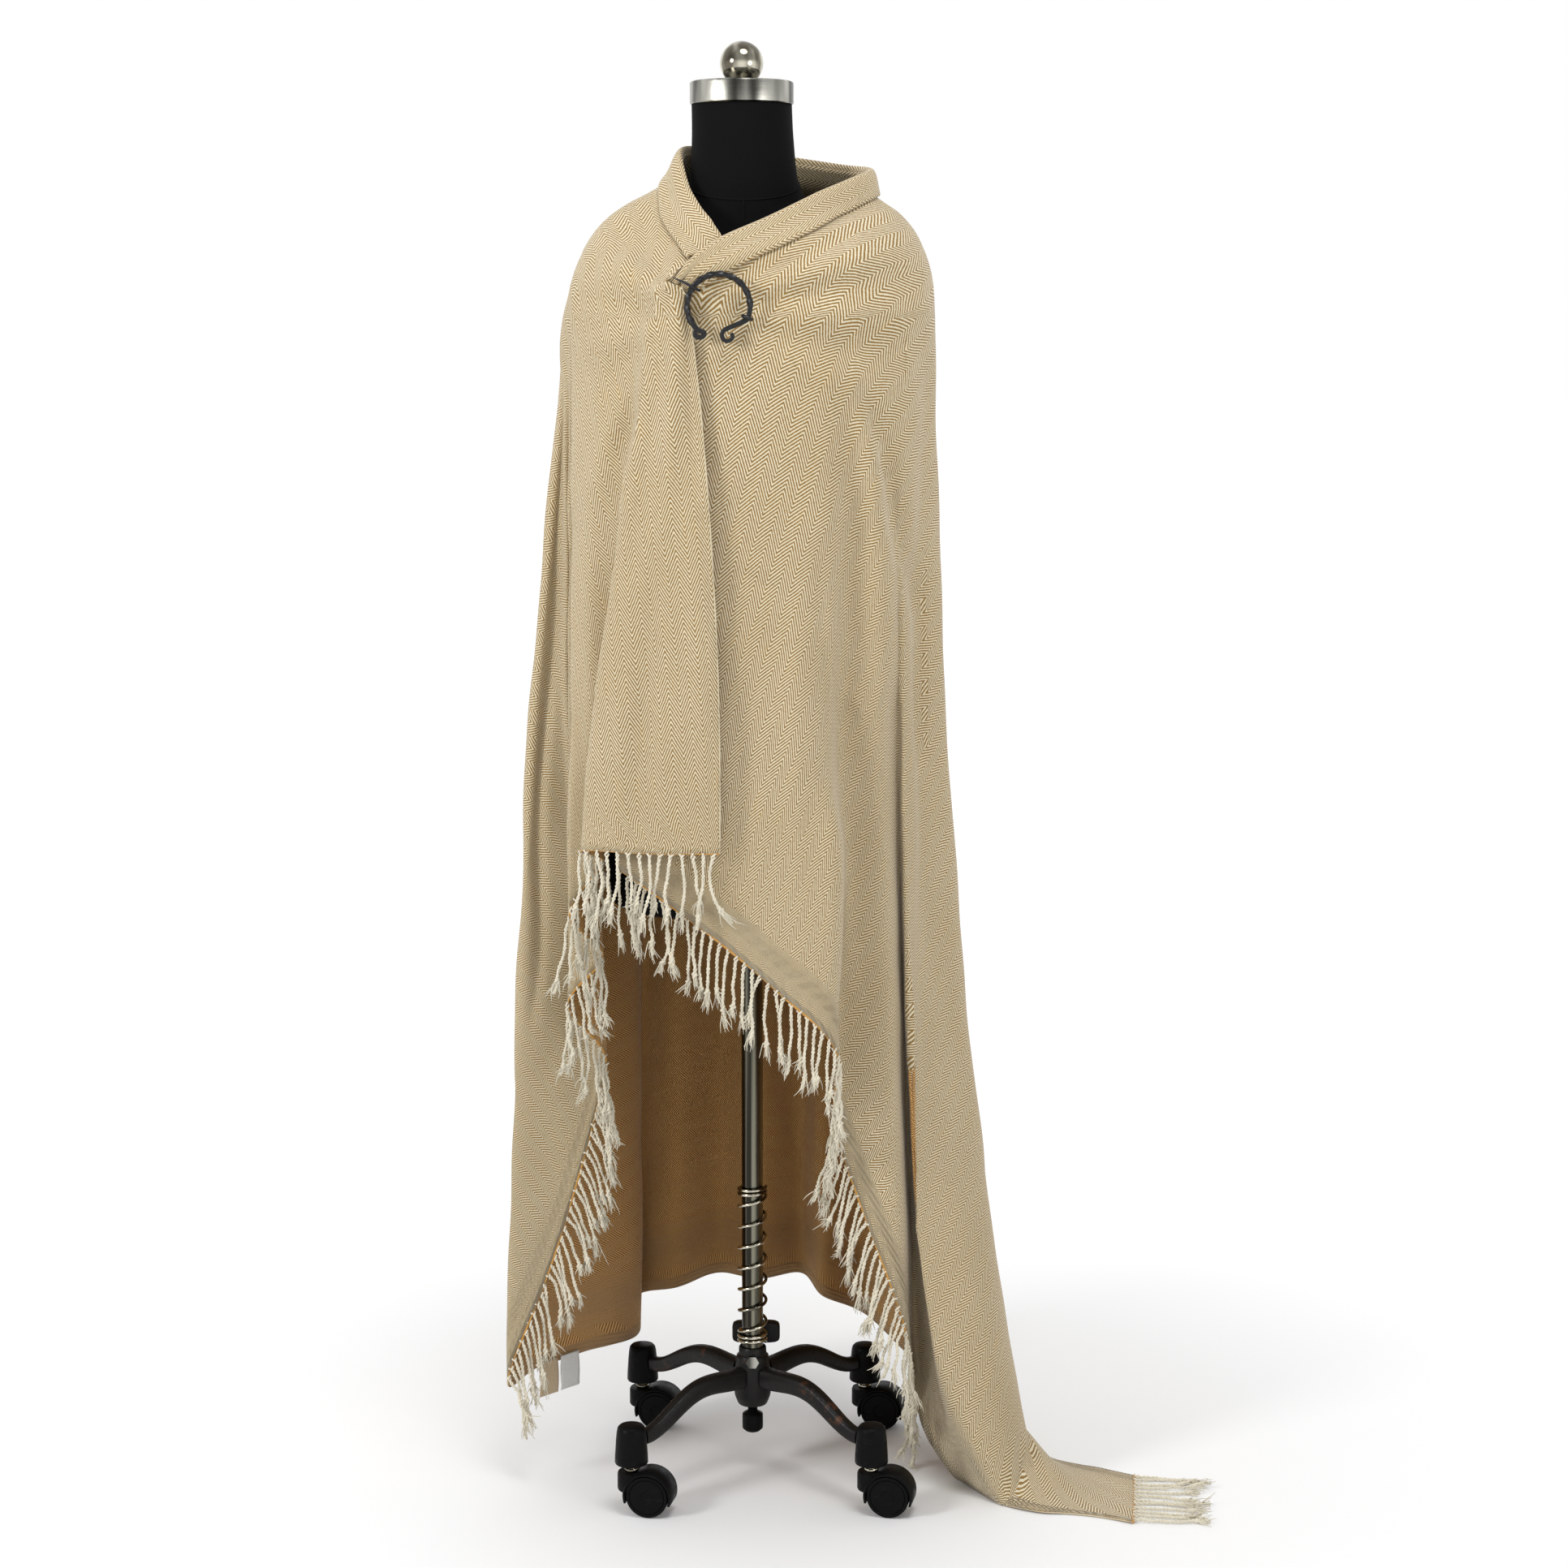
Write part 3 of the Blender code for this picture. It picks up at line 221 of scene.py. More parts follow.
# Dress form
FORM_TOP = 1.6195
FORM_LEAN = -0.010
FORM_LEAN_FROM = 1.25
NECK_SEAM_Z = 1.532  # at the neck's middle
NECK_SEAM_SLOPE = 0.35  # up towards the back
SEAM_RADIUS = 0.0009
SEAM_ROUNDS = 6  # of finding the height at which the slope meets the form
FORM_SIDES = 112  # points of a section
FORM_FRONT = FORM_SIDES * 3 // 4  # the one at the front
CAP_BOTTOM = 1.6199
CAP_TOP = 1.6450
CAP_RADIUS = 0.059
BALL_CENTRE = 1.6655
BALL_RADIUS = 0.0247
FORM = (
    # height, half width, depth to the front, to the back
    (0.692, 0.060, 0.050, 0.050),
    (0.694, 0.150, 0.098, 0.104),
    (0.712, 0.168, 0.108, 0.116),
    (0.800, 0.176, 0.112, 0.124),
    (0.900, 0.166, 0.106, 0.116),
    (1.040, 0.128, 0.092, 0.090),
    (1.150, 0.142, 0.108, 0.096),
    (1.250, 0.163, 0.122, 0.106),
    (1.330, 0.182, 0.118, 0.108),
    (1.385, 0.194, 0.104, 0.102),
    (1.425, 0.189, 0.090, 0.094),
    (1.453, 0.172, 0.076, 0.086),
    (1.474, 0.140, 0.066, 0.078),
    (1.490, 0.102, 0.061, 0.070),
    (1.506, 0.074, 0.060, 0.064),
    (1.534, 0.062, 0.060, 0.060),
    (1.580, 0.058, 0.058, 0.058),
    (1.6195, 0.057, 0.057, 0.057),
)

# Brooch: its ring's ends and its pin, about the ring's middle
BROOCH_PLACE = (-0.0335, -0.1620, 1.3925)
BROOCH_RADIUS = 0.0345
BROOCH_WIRE = 0.0034
PIN_WIRE = 0.0017
EYE_WIRE = 0.0022
EYE_TURN = 68  # degrees round the ring from its gap
RING_SECTION = (7, 1.0)  # power of its rounded sides, and how flat it is
RING_SHARE = 0.86  # of the wire's width that its flat sides have
RING_TAPER = ((0, 0.085, 0.125, 0.165), (1.0, 0.98, 0.76, 0.52))  # from its middle, of its width
RING_TWIST = (5.5, 0.132)  # half turns, over this length
CURL_STEPS = 60
PIN_STEPS = 40
PIN_TAPER = ((0, 0.25, 0.8, 1), (0.25, 0.85, 1.0, 0.95))
BROOCH_LEFT = (
    (-0.0225, -0.0262),
    (-0.0174, -0.0278),
    (-0.0157, -0.0302),
    (-0.0180, -0.0332),
    (-0.0220, -0.0337),
    (-0.0254, -0.0318),
    (-0.0257, -0.0287),
    (-0.0240, -0.0268),
)
BROOCH_RIGHT = (
    (0.0332, -0.0100),
    (0.0305, -0.0150),
    (0.0206, -0.0197),
    (0.0125, -0.0231),
    (0.0056, -0.0266),
    (0.0037, -0.0312),
    (0.0051, -0.0358),
    (0.0091, -0.0381),
    (0.0137, -0.0363),
    (0.0154, -0.0329),
    (0.0137, -0.0294),
)
PIN_TIP = (
    (-0.0500, 0.0030, 0.0310),
    (-0.0420, -0.0010, 0.0272),
    (-0.0360, -0.0050, 0.0247),
    (-0.0290, -0.0058, 0.0210),
    (-0.0247, -0.0045, 0.0185),
    (-0.0205, 0.0000, 0.0165),
)

# Labels
LABEL_WIDTH = 0.034
LABEL_HEIGHT = 0.044
LABEL_INSET = 0.0034
LABEL_TUCK = 0.006
TAPE_RIB = 0.0009
STITCHES = 11
STITCH_PITCH = 0.0028
STITCH_RADIUS = 0.00028
STITCH = ((-0.0010, 0), (0, 0.0003), (0.0010, 0))  # along the tape, into the cloth

# Light and camera
WORLD_FRONT = 0.38  # the studio's light from the camera's side, and from behind
WORLD_BACK = 1.0
WORLD_FADE = 0.35  # share of the way to each side, over which one turns into the other
HORIZON = (0.06, 0.45)  # rise over which the white of the floor fades out
FLOOR_NEAR = 0.15  # from the pole, where the floor starts to glow
FLOOR_FAR = 1.3  # where it is as white as the backdrop
FLOOR_HALF = 60
LENS = 68.0
CAMERA_PITCH = 8.6  # degrees down
CAMERA_PLACE = (0.038, -3.44, 1.36)  # from the pole's foot
LIGHTS = (
    # name, place from the pole's foot, height that it is aimed at, size, power
    ("front left", (-3.0, -2.2, 2.3), 0.9, 1.1, 74),
    ("front right", (2.6, -2.6, 1.5), 0.8, 1.4, 20),
    ("top", (0.4, -1.1, 3.6), 0.9, 1.2, 36),
)

# The top edge of the cloth, from the pinned end of the flap round the neck
# to the other pinned end: x, y, z
NECKLINE = (
    (-0.074, -0.154, 1.414),
    (-0.088, -0.151, 1.425),
    (-0.040, -0.106, 1.464),
    (-0.052, -0.084, 1.490),
    (-0.070, -0.045, 1.522),
    (-0.075, 0.005, 1.562),
    (-0.050, 0.056, 1.568),
    (0.000, 0.076, 1.565),
    (0.052, 0.070, 1.558),
    (0.105, 0.035, 1.548),
    (0.130, -0.012, 1.542),
    (0.112, -0.048, 1.530),
    (0.074, -0.078, 1.512),
    (0.032, -0.102, 1.490),
    (-0.034, -0.128, 1.461),
    (-0.066, -0.139, 1.440),
)

# From the neckline to the hanging ring: share of the way across, share of the drop left
SHOULDER = ((0, 1), (0.10, 0.86), (0.28, 0.79), (0.52, 0.71), (0.76, 0.57), (0.94, 0.31), (1, 0))

# A row for each fold line, from the flap's selvedge round the back to the hidden end.
# neck: place along NECKLINE; turn: degrees round from the front, to the viewer's left;
# out: how far outside the ring it hangs; foot: where it ends; power and bow: how
# late or early it spreads on its way down
FOLDS = (
    # name, neck, turn, out, foot x, foot y, foot z, power, bow
    ("flap selvedge", 0.0, 17, 0.012, -0.034, -0.173, 0.787, 1.0, 1.3),
    ("flap middle", 0.5, 22, 0.014, -0.112, -0.172, 0.787, 1.0, 0.7),
    ("flap fold", 1.0, 28, 0.012, -0.190, -0.158, 0.788, 1.0, 0.35),
    ("flap valley", 1.9, 37, 0.0, -0.168, -0.112, 0.768, 1.0, 0.0),
    ("left panel", 2.5, 54, 0.0, -0.192, -0.106, 0.735, 1.0, 0.0),
    ("left ridge", 3.2, 72, 0.0, -0.208, -0.106, 0.700, 1.0, 0.0),
    ("pleat valley one", 3.6, 77, 0.0, -0.172, -0.082, 0.650, 1.5, 0.0),
    ("pleat ridge one", 3.9, 80, 0.0, -0.213, -0.066, 0.590, 1.0, 0.0),
    ("pleat valley two", 4.2, 83, 0.0, -0.172, -0.042, 0.520, 1.5, 0.0),
    ("pleat ridge two", 4.4, 86, 0.0, -0.190, -0.020, 0.430, 1.0, 0.0),
    ("left slope", 4.6, 90, 0.0, -0.238, -0.030, 0.270, 1.0, 0.5),
    ("left corner", 4.8, 95, 0.0, -0.293, -0.045, 0.125, 1.0, 0.6),
    ("left side", 5.1, 106, 0.0, -0.262, 0.020, 0.118, 1.0, 0.4),
    ("left back", 5.5, 121, 0.0, -0.205, 0.100, 0.112, 1.0, 0.3),
    ("left back valley", 5.9, 137, 0.0, -0.146, 0.180, 0.106, 1.0, 0.2),
    ("back ridge one", 6.2, 148, 0.0, -0.150, 0.229, 0.140, 1.0, 0.3),
    ("back valley one", 6.5, 159, 0.0, -0.100, 0.201, 0.160, 1.0, 0.2),
    ("back ridge two", 6.8, 169, 0.0, -0.045, 0.237, 0.168, 1.0, 0.3),
    ("back valley two", 7.1, 180, 0.0, 0.008, 0.207, 0.170, 1.0, 0.2),
    ("back ridge three", 7.5, 192, 0.0, 0.060, 0.237, 0.168, 1.0, 0.3),
    ("back valley three", 7.9, 204, 0.0, 0.088, 0.198, 0.150, 1.0, 0.2),
    ("back ridge four", 8.4, 216, 0.0, 0.145, 0.227, 0.115, 1.0, 0.3),
    ("right back valley", 8.9, 231, 0.0, 0.205, 0.166, 0.075, 1.2, 0.1),
    ("right rear", 9.4, 249, 0.0, 0.295, 0.065, 0.030, 1.8, 0.0),
    ("right side", 9.9, 270, 0.0, 0.328, -0.030, 0.060, 2.1, 0.0),
    ("right front", 10.2, 285, 0.0, 0.318, -0.090, 0.036, 3.5, 0.0),
    ("train fold", 10.5, 297, 0.0, 0.293, -0.122, 0.0013, 8.0, 0.0),
    ("recess", 10.8, 304, 0.0, 0.245, -0.040, 0.0013, 4.0, 0.0),
    ("deep valley", 11.1, 311, 0.0, 0.200, 0.000, 0.070, 1.5, 0.0),
    ("outer ridge", 11.6, 322, 0.0, 0.177, -0.085, 0.215, 1.0, 0.0),
    ("middle valley", 12.0, 327, 0.0, 0.100, -0.090, 0.440, 1.0, 0.0),
    ("inner ridge", 12.5, 337, 0.0, 0.097, -0.155, 0.555, 1.0, 0.0),
    ("centre right", 13.2, 350, 0.0, 0.033, -0.160, 0.624, 1.0, 0.0),
    ("centre", 13.9, 364, 0.0, -0.038, -0.159, 0.685, 1.0, 0.0),
    ("centre left", 14.5, 375, 0.0, -0.100, -0.153, 0.731, 1.0, 0.0),
    ("hidden end", 15.0, 382, 0.0, -0.152, -0.138, 0.765, 1.0, 0.0),
)

# The train on the floor, a row for each section across it, from the wall to the tip
TRAIN = (
    # front x, front y, crown x, crown y, crown z, rear x, rear y, rear z
    (0.293, -0.122, 0.328, -0.030, 0.0600, 0.295, 0.065, 0.0300),
    (0.335, -0.146, 0.362, -0.055, 0.0260, 0.350, 0.030, 0.0060),
    (0.372, -0.150, 0.388, -0.070, 0.0090, 0.390, 0.005, 0.0013),
    (0.408, -0.160, 0.418, -0.082, 0.0013, 0.424, -0.012, 0.0013),
    (0.442, -0.178, 0.452, -0.104, 0.0013, 0.460, -0.034, 0.0013),
)

# The fringed edges, each between two fold lines
FRINGES = (
    # name, first fold, last fold
    ("fringe-flap", "flap selvedge", "flap fold"),
    ("fringe-left-pleats", "flap fold", "pleat ridge two"),
    ("fringe-left-slope", "pleat ridge two", "left corner"),
    ("fringe-right-fall", "deep valley", "outer ridge"),
    ("fringe-right-slope", "outer ridge", "centre right"),
    ("fringe-centre", "centre right", "hidden end"),
)

# Soft creases, as straight runs in the front view between two fold lines.
# height is out of the cloth, or into it where it is below zero
CREASES = {
    # first fold, last fold: x, z, to x, to z, height, width
    ("outer ridge", "hidden end"): (
        (-0.055, 1.405, 0.130, 1.478, -0.0066, 0.011),
        (-0.020, 1.118, 0.070, 1.067, 0.0034, 0.005),
        (-0.012, 1.108, 0.078, 1.056, -0.0028, 0.005),
        (0.040, 1.035, 0.075, 1.010, 0.0024, 0.005),
    ),
    ("right front", "hidden end"): (
        (-0.050, 1.395, 0.165, 1.455, 0.0066, 0.012),
        (-0.020, 1.392, 0.180, 1.425, -0.0060, 0.012),
        (0.010, 1.380, 0.195, 1.385, 0.0054, 0.014),
    ),
    ("recess", "hidden end"): (
        (0.020, 1.362, 0.185, 1.335, -0.0048, 0.013),
        (0.040, 1.335, 0.170, 1.285, 0.0042, 0.014),
    ),
    ("flap fold", "left corner"): (
        (-0.082, 1.412, -0.150, 1.490, -0.0054, 0.010),
        (-0.085, 1.400, -0.180, 1.455, 0.0054, 0.012),
        (-0.090, 1.385, -0.195, 1.405, -0.0050, 0.012),
        (-0.095, 1.365, -0.195, 1.345, 0.0046, 0.014),
    ),
    ("flap fold", "left ridge"): (
        (-0.100, 1.330, -0.150, 1.220, -0.0054, 0.012),
        (-0.125, 1.330, -0.185, 1.160, 0.0060, 0.016),
    ),
    ("flap valley", "left ridge"): (
        (-0.182, 1.150, -0.178, 0.880, 0.0052, 0.013),
    ),
    ("flap selvedge", "flap fold"): (
        (-0.068, 1.395, -0.060, 1.180, -0.0048, 0.006),
        (-0.078, 1.395, -0.092, 1.150, 0.0048, 0.008),
        (-0.092, 1.385, -0.130, 1.100, -0.0038, 0.010),
        (-0.062, 1.180, -0.050, 0.860, 0.0046, 0.014),
        (-0.105, 1.120, -0.120, 0.830, -0.0046, 0.013),
        (-0.140, 1.000, -0.150, 0.800, 0.0039, 0.012),
    ),
    ("deep valley", "inner ridge"): (
        (0.112, 0.962, 0.128, 0.938, 0.0030, 0.006),
    ),
    ("recess", "centre right"): (
        (0.108, 1.320, 0.150, 1.180, 0.0072, 0.014),
        (0.140, 1.200, 0.160, 0.960, 0.0084, 0.016),
    ),
    ("train fold", "inner ridge"): (
        (0.122, 1.310, 0.162, 1.190, -0.0066, 0.010),
    ),
    ("right front", "middle valley"): (
        (0.150, 1.215, 0.196, 1.050, -0.0104, 0.014),
        (0.186, 1.100, 0.200, 0.880, -0.0084, 0.013),
    ),
    ("outer ridge", "centre"): (
        (0.082, 1.130, 0.092, 0.820, -0.0084, 0.014),
    ),
    ("middle valley", "hidden end"): (
        (0.048, 1.060, 0.050, 0.760, 0.0059, 0.016),
    ),
    ("outer ridge", "centre right"): (
        (0.090, 0.860, 0.110, 0.620, 0.0065, 0.014),
    ),
    ("inner ridge", "hidden end"): (
        (0.000, 1.020, -0.010, 0.740, -0.0046, 0.015),
    ),
}

# Long soft folds on every side, by place among the fold lines, counted from the selvedge
LONG_FOLDS = (
    # place, z, to place, to z, height, width
    (0.12, 1.36, 0.10, 0.80, -0.0014, 0.0035),
    (9.6, 1.40, 9.5, 0.70, 0.0097, 0.013),
    (10.4, 1.34, 10.5, 0.55, -0.0117, 0.016),
    (11.3, 1.42, 11.4, 0.48, 0.0108, 0.018),
    (12.4, 1.38, 12.2, 0.60, -0.0108, 0.016),
    (13.2, 1.43, 13.1, 0.40, 0.0117, 0.020),
    (14.3, 1.36, 14.5, 0.62, -0.0097, 0.015),
    (15.4, 1.44, 15.2, 0.55, 0.0097, 0.016),
    (16.7, 1.30, 16.5, 0.72, 0.0077, 0.011),
    (17.6, 1.45, 17.3, 0.66, -0.0088, 0.015),
    (18.5, 1.38, 18.8, 0.50, 0.0088, 0.013),
    (19.7, 1.47, 19.4, 0.80, -0.0088, 0.015),
    (20.6, 1.34, 20.7, 0.42, 0.0097, 0.017),
    (21.5, 1.44, 21.9, 0.74, -0.0088, 0.015),
    (22.4, 1.38, 22.3, 0.50, 0.0117, 0.020),
    (23.3, 1.40, 23.5, 0.62, -0.0075, 0.020),
    (24.3, 1.37, 24.2, 0.38, 0.0069, 0.020),
    (25.2, 1.33, 25.4, 0.60, -0.0069, 0.016),
    (26.2, 1.20, 26.0, 0.30, 0.0052, 0.013),
    (14.2, 1.462, 17.2, 1.395, 0.0045, 0.009),
    (22.6, 1.455, 20.2, 1.372, 0.0069, 0.011),
    (11.2, 1.455, 13.0, 1.380, -0.0065, 0.011),
    (16.4, 0.930, 18.0, 0.890, 0.0039, 0.007),
    (21.8, 0.700, 23.2, 0.650, -0.0039, 0.008),
    (12.6, 0.820, 13.6, 0.780, 0.0042, 0.007),
)


def smooth(points, at):
    """Places on a smooth curve through the points, at whole or part numbers of steps."""
    points = np.asarray(points, float)
    at = np.asarray(at, float)
    last = len(points) - 1
    start = np.clip(at.astype(int), 0, last - 1)
    share = (at - start).reshape(at.shape + (1,) * (points.ndim - 1))
    before, here, after, beyond = (points[np.clip(start + step, 0, last)] for step in (-1, 0, 1, 2))
    run_in, run_out = (after - before) / 2, (beyond - here) / 2
    square, cube = share**2, share**3
    placed = (2 * cube - 3 * square + 1) * here + (cube - 2 * square + share) * run_in
    return placed + (3 * square - 2 * cube) * after + (cube - square) * run_out


def unit(vectors):
    return vectors / np.maximum(np.linalg.norm(vectors, axis=-1, keepdims=True), 1e-9)


def fold_line(fold, shoulder, drop):
    """One fold line's points, from the neckline over the shoulder and down to its foot."""
    _, neck, turn, out, *foot, power, bow = fold
    top = smooth(NECKLINE, [neck])[0]
    angle = math.radians(turn)
    across = -(RING_RX + out) * math.sin(angle)
    ring = np.array([across, RING_Y - (RING_RY + out) * math.cos(angle), RING_Z])
    foot = np.array(foot)
    profile = smooth(SHOULDER, np.arange(shoulder) * (len(SHOULDER) - 1) / shoulder)
    over = top + (ring - top) * profile[:, :1]
    over[:, 2] = RING_Z + (top[2] - RING_Z) * profile[:, 1]
    share = np.linspace(0, 1, drop + 1)[:, None]
    down = ring + (foot - ring) * share**power * (1 + bow * (1 - share))
    down[:, 2:] = RING_Z + (foot[2] - RING_Z) * share
    return np.vstack([over, down])


NAMES = [fold[0] for fold in FOLDS]
TRAIN_FIRST = NAMES.index("right rear")
TRAIN_LAST = NAMES.index("train fold")


def cloth_grid(between, shoulder, drop):
    """The hanging cloth as columns of points, this many columns for each fold line."""
    lines = [fold_line(fold, shoulder, drop) for fold in FOLDS]
    columns = smooth(lines, np.arange((len(FOLDS) - 1) * between + 1) / between)
    columns[..., 2] = np.maximum(columns[..., 2], LOWEST)
    return columns


def train_grid(feet, between, steps):
    """The train's columns, which go on from the feet of the cloth's own columns."""
    at = np.arange(steps * (len(TRAIN) - 1) + 1) / steps
    sections = smooth(TRAIN, at)
    front = np.stack([sections[:, 0], sections[:, 1], np.full(len(at), LOWEST)], axis=1)
    crown, rear = sections[:, 2:5], sections[:, 5:8]
    side = crown + (front - crown) * TRAIN_SIDE_AT
    side[:, 2] = np.maximum(crown[:, 2] * TRAIN_SIDE_HEIGHT, LOWEST)
    across = np.arange((TRAIN_LAST - TRAIN_FIRST) * between + 1) / between
    train = smooth([rear, crown, side, front], across)
    fade = np.clip(1 - at, 0, 1)[None, :, None] ** 2
    train = train + (feet - train[:, 0])[:, None] * fade
    train[..., 2] = np.maximum(train[..., 2], LOWEST)
    return train


def with_train(columns, between, steps):
    """All columns as one grid: those with no train repeat their foot."""
    first, last = TRAIN_FIRST * between, TRAIN_LAST * between
    train = train_grid(columns[first : last + 1, -1], between, steps)
    rows = train.shape[1] - 1
    whole = np.concatenate([columns, np.repeat(columns[:, -1:], rows, axis=1)], axis=1)
    whole[first : last + 1, -rows:] = train[:, 1:]
    used = np.ones(whole.shape[:2], bool)
    used[:, -rows:] = False
    used[first : last + 1, -rows:] = True
    return whole, used


def normals_of(grid):
    along = np.gradient(grid, axis=0)
    down = np.gradient(grid, axis=1)
    return unit(np.cross(along, down))


def walk_of(points):
    """How far along a line each of its points lies."""
    return np.concatenate([[0], np.cumsum(np.linalg.norm(np.diff(points, axis=0), axis=1))])


def along_line(at, walk, line):
    """Places on a line of points, each of them so far along it."""
    return np.stack([np.interp(at, walk, line[:, axis]) for axis in range(3)], axis=-1)


def column_of(fold):
    """The number of the grid's column that lies on this fold line."""
    return NAMES.index(fold) * BETWEEN


def gather(count, numbers, values):
    """Adds up two-column values by the numbers of the points they belong to."""
    return np.stack([np.bincount(numbers, values[:, k], minlength=count) for k in (0, 1)], axis=1)


def flat_sides(numbers, points):
    """The four sides of the woven piece, as numbers of points and their flat places."""
    foot = FLAT_SHOULDER + FLAT_DROP
    corner = NAMES.index("left corner") * FLAT_BETWEEN
    first, last = TRAIN_FIRST * FLAT_BETWEEN, TRAIN_LAST * FLAT_BETWEEN
    neck_side = np.concatenate([numbers[0, foot::-1], numbers[1:-1, 0], numbers[-1, : foot + 1]])
    left_end = numbers[: corner + 1, foot]
    hem_side = np.concatenate([numbers[corner:first, foot], numbers[first, foot:]])
    tip, train_side = numbers[first : last + 1, -1], numbers[last, foot:-1][::-1]
    right_end = np.concatenate([tip, train_side, numbers[last + 1 :, foot]])
    width, length = FLAT_WIDTH * LAYOUT_SPACE, FLAT_LENGTH * LAYOUT_SPACE
    corners = np.array(((0, 0), (width, 0), (width, length), (0, length)))
    sides = []
    for side, start, end in ((neck_side, 0, 3), (left_end, 0, 1), (hem_side, 1, 2), (right_end, 2, 3)):
        walk = walk_of(points[side])[:, None]
        sides.append((side, corners[start] + (corners[end] - corners[start]) * walk / walk[-1]))
    return sides


def springs_of(numbers, used):
    """The pairs of points next to each other, along, down and over both diagonals."""
    pairs = [(numbers[1:], numbers[:-1]), (numbers[:, 1:], numbers[:, :-1])]
    pairs += [(numbers[1:, 1:], numbers[:-1, :-1]), (numbers[1:, :-1], numbers[:-1, 1:])]
    first, second = (np.concatenate([pair[k].ravel() for pair in pairs]) for k in (0, 1))
    keep = used.ravel()[first] & used.ravel()[second]
    return first[keep], second[keep]


def make_room(flat, cells, areas):
    """The moves that push the corners of each cramped cell apart."""
    one, other = flat[cells[2]] - flat[cells[0]], flat[cells[3]] - flat[cells[1]]
    lack = np.maximum(areas - (one[:, 0] * other[:, 1] - one[:, 1] * other[:, 0]) / 2, 0)
    size = (one**2).sum(axis=1) / 2 + (other**2).sum(axis=1) / 2 + 1e-8
    share = (lack / size / 2)[:, None]
    first, second = (np.stack([way[:, 1], -way[:, 0]], axis=1) * share for way in (other, one))
    push, cramped = np.zeros(flat.shape), np.zeros(len(flat))
    for at, turn in enumerate((-first, second, first, -second)):
        push += gather(len(flat), cells[at], turn)
        cramped += np.bincount(cells[at], lack > 0, minlength=len(flat))
    return push / np.maximum(cramped, 1)[:, None]


def flat_places():
    """The cloth laid flat: where each point of the grid lies on the woven piece.

    On a coarse grid, springs as long as the cloth between its points pull the flat places
    apart, each cell keeps its area, and the sides stay near the lines of the woven piece.
    """
    columns = cloth_grid(FLAT_BETWEEN, FLAT_SHOULDER, FLAT_DROP)
    grid, used = with_train(columns, FLAT_BETWEEN, FLAT_TRAIN)
    count = used.size
    numbers = np.arange(count).reshape(used.shape)
    points = grid.reshape(-1, 3)
    first, second = springs_of(numbers, used)
    both = np.concatenate([first, second])
    lengths = np.linalg.norm(points[first] - points[second], axis=1)
    cells = grid_faces(used).T
    diagonals = points[cells[2]] - points[cells[0]], points[cells[3]] - points[cells[1]]
    areas = np.linalg.norm(np.cross(*diagonals), axis=1) / 2
    sides = flat_sides(numbers, points)
    flat = np.zeros((count, 2))
    inside = used.ravel().copy()
    for side, places in sides:
        flat[side] = places
        inside[side] = False
    ties = np.zeros((count, count))
    ties[first, second] = ties[second, first] = -1 / np.maximum(lengths, 1e-4)
    ties[np.arange(count), np.arange(count)] = -ties.sum(axis=1)
    free = np.flatnonzero(inside)
    flat[free] = np.linalg.solve(ties[np.ix_(free, free)], -ties[free] @ flat)
    springs = np.maximum(np.bincount(both, minlength=count), 1)[:, None]
    for _ in range(LAYOUT_ROUNDS):
        gap = flat[first] - flat[second]
        span = np.maximum(np.linalg.norm(gap, axis=1), 1e-9)
        pull = gap * (LAYOUT_STIFF * (lengths - span) / span)[:, None]
        flat += (gather(count, first, pull) - gather(count, second, pull)) / springs
        flat += make_room(flat, cells, areas)
        for side, places in sides:
            axis = 0 if np.ptp(places[:, 0]) < 1e-6 else 1
            flat[side, axis] += LAYOUT_HOLD * (places[0, axis] - flat[side, axis])
    weight = 1 / np.maximum(lengths, LAYOUT_NEAR)[:, None]
    total = np.bincount(both, np.tile(weight[:, 0], 2), minlength=count)
    for _ in range(LAYOUT_PASSES):
        mean = gather(count, first, weight * flat[second])
        mean += gather(count, second, weight * flat[first])
        flat[free] += LAYOUT_SMOOTH * (mean[free] / total[free, None] - flat[free])
    at = np.arange((len(NAMES) - 1) * BETWEEN + 1) * FLAT_BETWEEN / BETWEEN
    over = np.arange(SHOULDER_STEPS) * FLAT_SHOULDER / SHOULDER_STEPS
    drop = FLAT_SHOULDER + np.arange(DROP_STEPS + 1) * FLAT_DROP / DROP_STEPS
    train = drop[-1] + np.arange(1, TRAIN_STEPS * (len(TRAIN) - 1) + 1) * FLAT_TRAIN / TRAIN_STEPS
    wide = smooth(flat.reshape(*used.shape, 2), at)
    return smooth(wide.transpose(1, 0, 2), np.concatenate([over, drop, train])).transpose(1, 0, 2)


